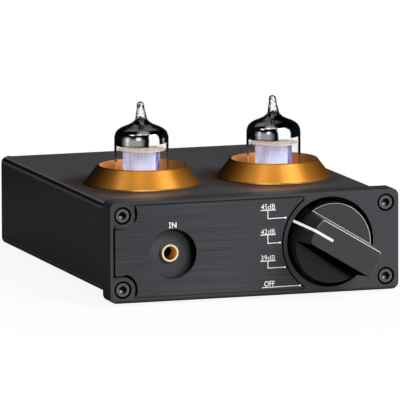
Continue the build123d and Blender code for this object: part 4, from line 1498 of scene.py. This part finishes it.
@dataclass
class Valve:
    """One miniature valve with its ring and socket.

    Attributes:
        place: which of the two valves this is.
        radius: radius of the bulb.
        wall: thickness of the glass.
        outline: radius and height above the deck of the bulb's upper part.
        crown: the ends of its hollow inside the neck, given likewise.
        neck: height above the deck at which the tip begins.
        film_low: height above the deck at which the getter's film begins.
        film_step: height of the film's upright edge.
        film_gap: gap between the film and the glass.
        film_thick: thickness of the film.
        film_crown: height above the deck above which the film is darkest.
        ring_mouth: radius of the ring's mouth.
        seam: distance of the anode's lap from the axis.
        steps: number of segments round the axis.
    """

    place: Side
    radius: float = 9.05
    wall: float = 0.3
    outline: tuple[Pair, ...] = (
        (9.05, 14.6),
        (8.98, 15.8),
        (8.5, 17.15),
        (7.75, 18.0),
        (6.5, 18.8),
        (4.75, 19.5),
        (3.45, 20.15),
        (2.55, 20.85),
        (2.0, 21.6),
        (1.72, 22.5),
        (1.55, 23.6),
        (1.42, 24.8),
        (1.3, 26.0),
        (0.95, 27.0),
    )
    crown: tuple[Pair, ...] = ((0.9, 21.9), (0.0, 22.05))
    neck: float = 21.6
    film_low: float = 13.0
    film_step: float = 1.15
    film_gap: float = 0.04
    film_thick: float = 0.03
    film_crown: float = 18.9
    ring_mouth: float = 14.2
    seam: float = 4.2
    steps: int = 96

    def __post_init__(self) -> None:
        """Measure the model: the axis, the case's top and the ends of the bulb."""
        self.body = f"valve_{self.place.value}"
        bulb = Span(f"{self.body}_bulb")
        self.centre = bulb.middle[:2]
        self.deck = Span("case_shell").high[2]
        self.seat = bulb.low[2] - self.deck
        self.tip_top = bulb.high[2] - self.deck - 0.05

    def lean(self, radius: float, angle: float, height: float) -> Point:
        """Shift of a point of the sealed tip, which is drawn out a little askew and lumpy.

        Args:
            radius: distance of the point from the axis.
            angle: its direction from the axis.
            height: its height.

        Returns:
            The shift.
        """
        up = max(0.0, height - self.deck - 21.0)
        lump = 0.07 * radius * min(1.0, up / 1.5) * math.sin(2.0 * angle + 1.3 * up)
        return -0.055 * up + lump * math.cos(angle), 0.01 * up + lump * math.sin(angle), 0.0

    def wander(self, radius: float, angle: float, height: float) -> Point:
        """Shift of a point of the film, whose lower edge wanders and ends higher on the right.

        Args:
            radius: distance of the point from the axis; not used.
            angle: its direction from the axis.
            height: its height.

        Returns:
            The shift.
        """
        near = max(0.0, 1.0 - (height - self.deck - self.film_low) / 1.1)
        turn = (math.degrees(angle) + 180.0) % 360.0 - 180.0
        step = min(max((turn + 75.0) / 4.0, 0.0), 1.0) * min(max((30.0 - turn) / 48.0, 0.0), 1.0)
        waves = 0.07 * math.sin(3.0 * angle + 1.0) + 0.05 * math.sin(7.0 * angle)
        return 0.0, 0.0, near * (waves + 0.9 * step)

    def hollow(self) -> list[Pair]:
        """Inner surface of the glass, set off from its outline.

        Returns:
            A smooth line from the shoulder to the crown, as radius and height above the deck.
        """
        shell = [(radius, height) for radius, height in self.outline if height < 22.0]
        inner = []
        for before, here, after in zip([shell[0], *shell], shell, [*shell[1:], shell[-1]]):
            tangent = Vector((after[0] - before[0], after[1] - before[1])).normalized()
            inner.append((here[0] - self.wall * tangent[1], here[1] + self.wall * tangent[0]))
        return eased([*inner, *self.crown], 3)

    def blown(
        self,
        name: str,
        profile: Sequence[Pair],
        material: bpy.types.Material,
        warp: Callable[[float, float, float], Point],
    ) -> bpy.types.Object:
        """Turn a closed profile into a smooth piece that casts no shadow.

        Args:
            name: end of the piece's name.
            profile: radius and height above the deck.
            material: what it is made of.
            warp: gives the shift of a point.

        Returns:
            The piece.
        """
        raised = [(radius, self.deck + height) for radius, height in profile]
        points, faces = turned(raised, self.centre, self.steps, True, warp)
        made = mesh_piece(f"{self.body}_{name}", points, faces, material, 60.0)
        made.visible_shadow = False
        return made

    def bulb(self, glass: bpy.types.Material) -> bpy.types.Object:
        """Make the glass envelope.

        Args:
            glass: the finish.

        Returns:
            The piece.
        """
        outer = [(self.radius, self.seat), *eased([*self.outline, (0.0, self.tip_top)], 4)]
        inner = [(self.radius - self.wall, self.seat), *self.hollow()]
        return self.blown("glass", [*outer, *reversed(inner)], glass, self.lean)

    def film(self, mirror: bpy.types.Material) -> bpy.types.Object:
        """Make the getter's silver film, which lies on the inner surface of the glass.

        Args:
            mirror: the finish.

        Returns:
            The piece.
        """
        gap, thick = self.film_gap, self.film_thick
        upper = [(max(0.0, r - gap), h - gap) for r, h in self.hollow() if h > self.film_low + 1.3]
        lower = self.radius - self.wall - gap
        skin = [(lower, self.film_low), (lower, self.film_low + self.film_step), *upper]
        back = [(max(0.0, r - thick), h - (thick if r < 7.5 else 0.0)) for r, h in reversed(skin)]
        return self.blown("film", [*skin, *back], mirror, self.wander)

    def build(self, shop: Dresser) -> None:
        """Make the glass and film, and dress the nodes.

        Args:
            shop: lets the pieces ride on the valve.
        """
        side, body = self.place.value, self.body
        glass = shop.dress(ValveGlass(f"{body}_clear", self.deck + self.neck), f"{body}_button")
        shop.add(self.bulb(glass), body, "valve_glass", f"{body}_bulb")
        mirror = GetterMirror(f"{body}_silver", self.deck + self.film_low, self.deck + self.film_crown)
        shop.add(self.film(mirror.material()), body, "nickel")
        rim = Span(f"ring_{side}").high[2]
        gold = TurnedGold(f"gold_{side}", (0.95, 0.37, 0.035), self.centre, self.deck, rim, self.ring_mouth)
        shop.dress(gold, f"ring_{side}")
        top = Span(f"{body}_anode").high[2]
        anode = AnodeSheet(f"anode_{side}", (0.62, 0.69, 0.97), self.centre[0] + self.seam, top)
        shop.dress(anode, f"{body}_anode")
        shop.dress(Mica(f"mica_{side}", (0.71, 0.57, 0.49)), f"{body}_micas")
        nickel = Coating(f"electrode_{side}", (0.6, 0.58, 0.55), 0.3, metallic=1.0)
        shop.dress(nickel, f"{body}_pins", f"{body}_electrodes", f"{body}_getter", f"socket_{side}_contacts")
        shop.dress(Coating(f"ceramic_{side}", (0.78, 0.76, 0.7), 0.4, variation=0.04), f"socket_{side}")


class Electronics:
    """Main board and the components that stand on it."""

    def build(self, shop: Dresser) -> None:
        """Dress the board's nodes.

        Args:
            shop: gives out the finishes.
        """
        board = Coating("board_black", (0.012, 0.022, 0.018), 0.35, variation=0.3, grain_mm=1.2)
        shop.dress(board, "main_board")
        sleeve = Coating("sleeve_dark", (0.02, 0.025, 0.05), 0.3, variation=0.1)
        shop.dress(sleeve, "coupling_capacitors", "reservoir_capacitors")
        shop.dress(Coating("film_red", (0.4, 0.045, 0.02), 0.3, variation=0.1), "film_capacitors")
        black = Coating("package_black", (0.02, 0.02, 0.02), 0.55, grain_depth=0.02)
        shop.dress(black, "converter_coils", "amplifier_chips")


# ------------------------------------------------------------------ studio
@dataclass(frozen=True)
class Softbox:
    """One bright area of the dome, which mirrored rays see.

    Attributes:
        azimuth: direction of its middle, in degrees from +X towards +Y.
        half_width: degrees from its middle to either side.
        low, high: its lower and upper edge, in degrees above the floor.
        level: brightness.
        soft: degrees over which its edges fade.
    """

    azimuth: float
    half_width: float
    low: float
    high: float
    level: float
    soft: float = 3.0

    def glow(self, x: Wire, y: Wire, rise: Wire) -> Wire:
        """Brightness that it adds in one direction.

        Args:
            x: part of the direction along +X.
            y: part of the direction along +Y.
            rise: degrees above the floor.

        Returns:
            The brightness.
        """
        sine, cosine = math.sin(math.radians(self.azimuth)), math.cos(math.radians(self.azimuth))
        turn = (y * cosine - x * sine).angle(x * cosine + y * sine)
        away = abs(turn) * math.degrees(1.0)
        across = away.fall(self.half_width - self.soft, self.half_width + self.soft)
        return across * rise.band(self.low, self.high, self.soft) * self.level


@dataclass
class Studio:
    """Floor, surroundings, lamp, reflected softboxes and camera.

    Attributes:
        yaw, pitch, roll: directions of the camera in degrees.
        focal: focal length in pixels of a picture of the stated width.
        width: that width.
        sensor: width of the camera's sensor.
        distance: from the camera to the target.
        shift: how far the target lies off the middle of the picture.
        target: point that the camera looks past.
        sun_from: direction that the key light comes from.
        sun_strength, sun_width: its strength, and its angle in degrees.
        ambient: level of the light from all round.
        floor_half: half width of the floor.
        floor_shade: brightness of the floor under the object, which fades over shade_fade.
        dome_radius: distance of the softboxes.
        dome_step: degrees from one row of the dome to the next.
        dome_sides: number of its sides.
        softboxes: the bright areas.
        card_height: height of the cards above the floor.
        cards: near and far corner of the dark cards that lie on the floor beside and behind the case.
    """

    yaw: float = 18.21
    pitch: float = 8.44
    roll: float = -0.21
    focal: float = 8641.0
    width: int = 400
    sensor: float = 36.0
    distance: float = 2881.0
    shift: Pair = (2.39, -8.92)
    target: Point = (0.0, -10.0, 17.15)
    sun_from: Point = (0.45, -0.66, 0.6)
    sun_strength: float = 3.3
    sun_width: float = 40.0
    ambient: float = 0.2
    floor_half: float = 40000.0
    floor_shade: float = 0.92
    shade_fade: Pair = (80.0, 180.0)
    dome_radius: float = 220.0
    dome_step: int = 3
    dome_sides: int = 120
    softboxes: tuple[Softbox, ...] = (
        Softbox(-54.5, 26.5, -30.0, 48.0, 1.3),
        Softbox(-50.0, 22.0, 49.0, 60.0, 3.6, 4.0),
        Softbox(-108.0, 50.0, 67.0, 120.0, 1.45, 8.0),
        Softbox(-130.0, 14.0, 62.0, 80.0, 2.3, 7.0),
        Softbox(-163.0, 12.0, 49.0, 58.0, 2.0, 4.0),
        Softbox(0.0, 200.0, 80.0, 120.0, 1.4),
        Softbox(-146.0, 40.0, -40.0, 24.0, 0.38, 14.0),
        Softbox(-170.0, 9.0, 2.0, 30.0, 1.0, 8.0),
        Softbox(-124.0, 8.0, 16.0, 36.0, 1.5, 7.0),
        Softbox(85.0, 36.0, 52.0, 76.0, 0.75, 7.0),
    )
    card_height: float = 0.3
    cards: tuple[tuple[Pair, Pair], ...] = (
        ((-218.0, -80.0), (-49.5, 218.0)),
        ((50.5, -40.0), (218.0, 218.0)),
        ((-49.5, 77.0), (50.5, 218.0)),
    )

    def camera(self) -> None:
        """Place the camera."""
        yaw, pitch, roll = (math.radians(a) for a in (self.yaw, self.pitch, self.roll))
        forward = Vector((math.sin(yaw) * math.cos(pitch), math.cos(yaw) * math.cos(pitch), -math.sin(pitch)))
        level = Vector((math.cos(yaw), -math.sin(yaw), 0.0))
        upward = level.cross(forward)
        right = math.cos(roll) * level + math.sin(roll) * upward
        up = -math.sin(roll) * level + math.cos(roll) * upward
        place = Vector(self.target) - self.distance * forward - self.shift[0] * right - self.shift[1] * up
        data = bpy.data.cameras.new("camera")
        data.sensor_width = self.sensor
        data.lens = self.focal / self.width * self.sensor
        data.clip_start, data.clip_end = 0.05, 100.0
        made = linked("camera", data)
        turn = Matrix((right, up, -forward)).transposed().to_4x4()
        made.matrix_world = Matrix.Translation(place * MM) @ turn
        bpy.context.scene.camera = made

    def seen(self, paint: Paint) -> Wire:
        """Rays that see the pale background: the camera's, and those mirrored or passed on to it."""
        path = paint.node("ShaderNodeLightPath", {}, {})
        return path["Is Camera Ray"].most(path["Is Glossy Ray"]).most(path["Is Transmission Ray"])

    def sheet(
        self, name: str, low: Pair, high: Pair, height: float, material: bpy.types.Material
    ) -> bpy.types.Object:
        """Make a level rectangle.

        Args:
            name: its name.
            low, high: x and y of its corners.
            height: its height.
            material: what it is made of.

        Returns:
            The piece.
        """
        corners = [(*low, height), (high[0], low[1], height), (*high, height), (low[0], high[1], height)]
        return mesh_piece(name, corners, [(0, 1, 2, 3)], material)

    def floor(self) -> None:
        """Lay the pale floor, which keeps a soft shadow near the object."""
        paint = Paint("floor_pale")
        x, y, _, where = paint.place()
        away = length2(x, y).rise(*self.shade_fade)
        pale = paint.blend(paint.noise(where, 0.3), (0.92, 0.92, 0.92), (0.95, 0.95, 0.95))
        bounced = paint.node("ShaderNodeLightPath", {}, {})["Is Diffuse Ray"]
        matte = paint.matte(paint.blend(bounced, pale, (0.2, 0.2, 0.2)), Roughness=0.9)
        share = self.seen(paint) * (self.floor_shade + away * (1.0 - self.floor_shade))
        material = paint.done(paint.mixed(share, matte, paint.glow(1.0)))
        far = self.floor_half
        self.sheet("floor", (-far, -far), (far, far), 0.0, material)

    def surroundings(self) -> None:
        """White surroundings for what the camera and glass see, and a plain level for the rest."""
        world = bpy.data.worlds.new("surroundings")
        bpy.context.scene.world = world
        paint = Paint("surroundings", world)
        seen = self.seen(paint)
        level = seen + (1.0 - seen) * self.ambient
        paint.done(paint.node("ShaderNodeBackground", {}, {"Color": WHITE, "Strength": level})["Background"])

    def mirrored_only(self, made: bpy.types.Object) -> None:
        """Let nothing but mirrored rays see a piece of the studio.

        Args:
            made: the piece.
        """
        for ray in ("camera", "diffuse", "transmission", "volume_scatter", "shadow"):
            setattr(made, f"visible_{ray}", False)

    def dome(self) -> None:
        """Put a dark dome with softboxes round the object, which shapes its highlights."""
        paint = Paint("dome_glow")
        x, y, z, where = paint.place()
        rise = z.angle(length2(x, y)) * math.degrees(1.0)
        level = paint.noise(where, 0.008) * 0.008
        for box in self.softboxes:
            level = level.most(box.glow(x, y, rise))
        angles = [math.radians(degrees) for degrees in range(0, 90, self.dome_step)]
        profile = [(self.dome_radius * math.cos(a), self.dome_radius * math.sin(a)) for a in angles]
        points, faces = turned([*profile, (0.0, self.dome_radius)], (0.0, 0.0), self.dome_sides, closed=False)
        self.mirrored_only(mesh_piece("dome", points, faces, paint.done(paint.glow(level))))

    def lay_cards(self) -> None:
        """Lay dark cards on the floor, so that the sides of the case and rings mirror them and no white."""
        paint = Paint("card_dark")
        *_, where = paint.place()
        color = paint.blend(paint.noise(where, 0.05), (0.075, 0.075, 0.075), (0.085, 0.085, 0.085))
        material = paint.done(paint.matte(color, Roughness=1.0))
        for number, (near, far) in enumerate(self.cards):
            self.mirrored_only(self.sheet(f"card_{number}", near, far, self.card_height, material))

    def key(self) -> None:
        """Hang the key light, a wide soft sun that points at the object."""
        data = bpy.data.lights.new("key", "SUN")
        data.energy = self.sun_strength
        data.angle = math.radians(self.sun_width)
        made = linked("key", data)
        made.location = Vector(self.sun_from)
        made.rotation_euler = (-made.location).to_track_quat("-Z", "Y").to_euler()
        made.visible_glossy = False

    def build(self) -> None:
        """Set up the whole studio."""
        self.camera()
        self.floor()
        self.surroundings()
        self.dome()
        self.lay_cards()
        self.key()
        bpy.context.scene.view_settings.view_transform = "Standard"


def main() -> None:
    """Load the model, build every sub-assembly in order and set the scene up."""
    logging.basicConfig(level=logging.INFO, format="%(message)s")
    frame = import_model()
    shop = Dresser(frame)
    for part in (
        Enclosure(),
        DialPrint(),
        Selector(),
        Sockets(),
        Valve(Side.LEFT),
        Valve(Side.RIGHT),
        Electronics(),
    ):
        log.info("building %s", type(part).__name__)
        part.build(shop)
    Studio().build()


if __name__ == "__main__":
    main()
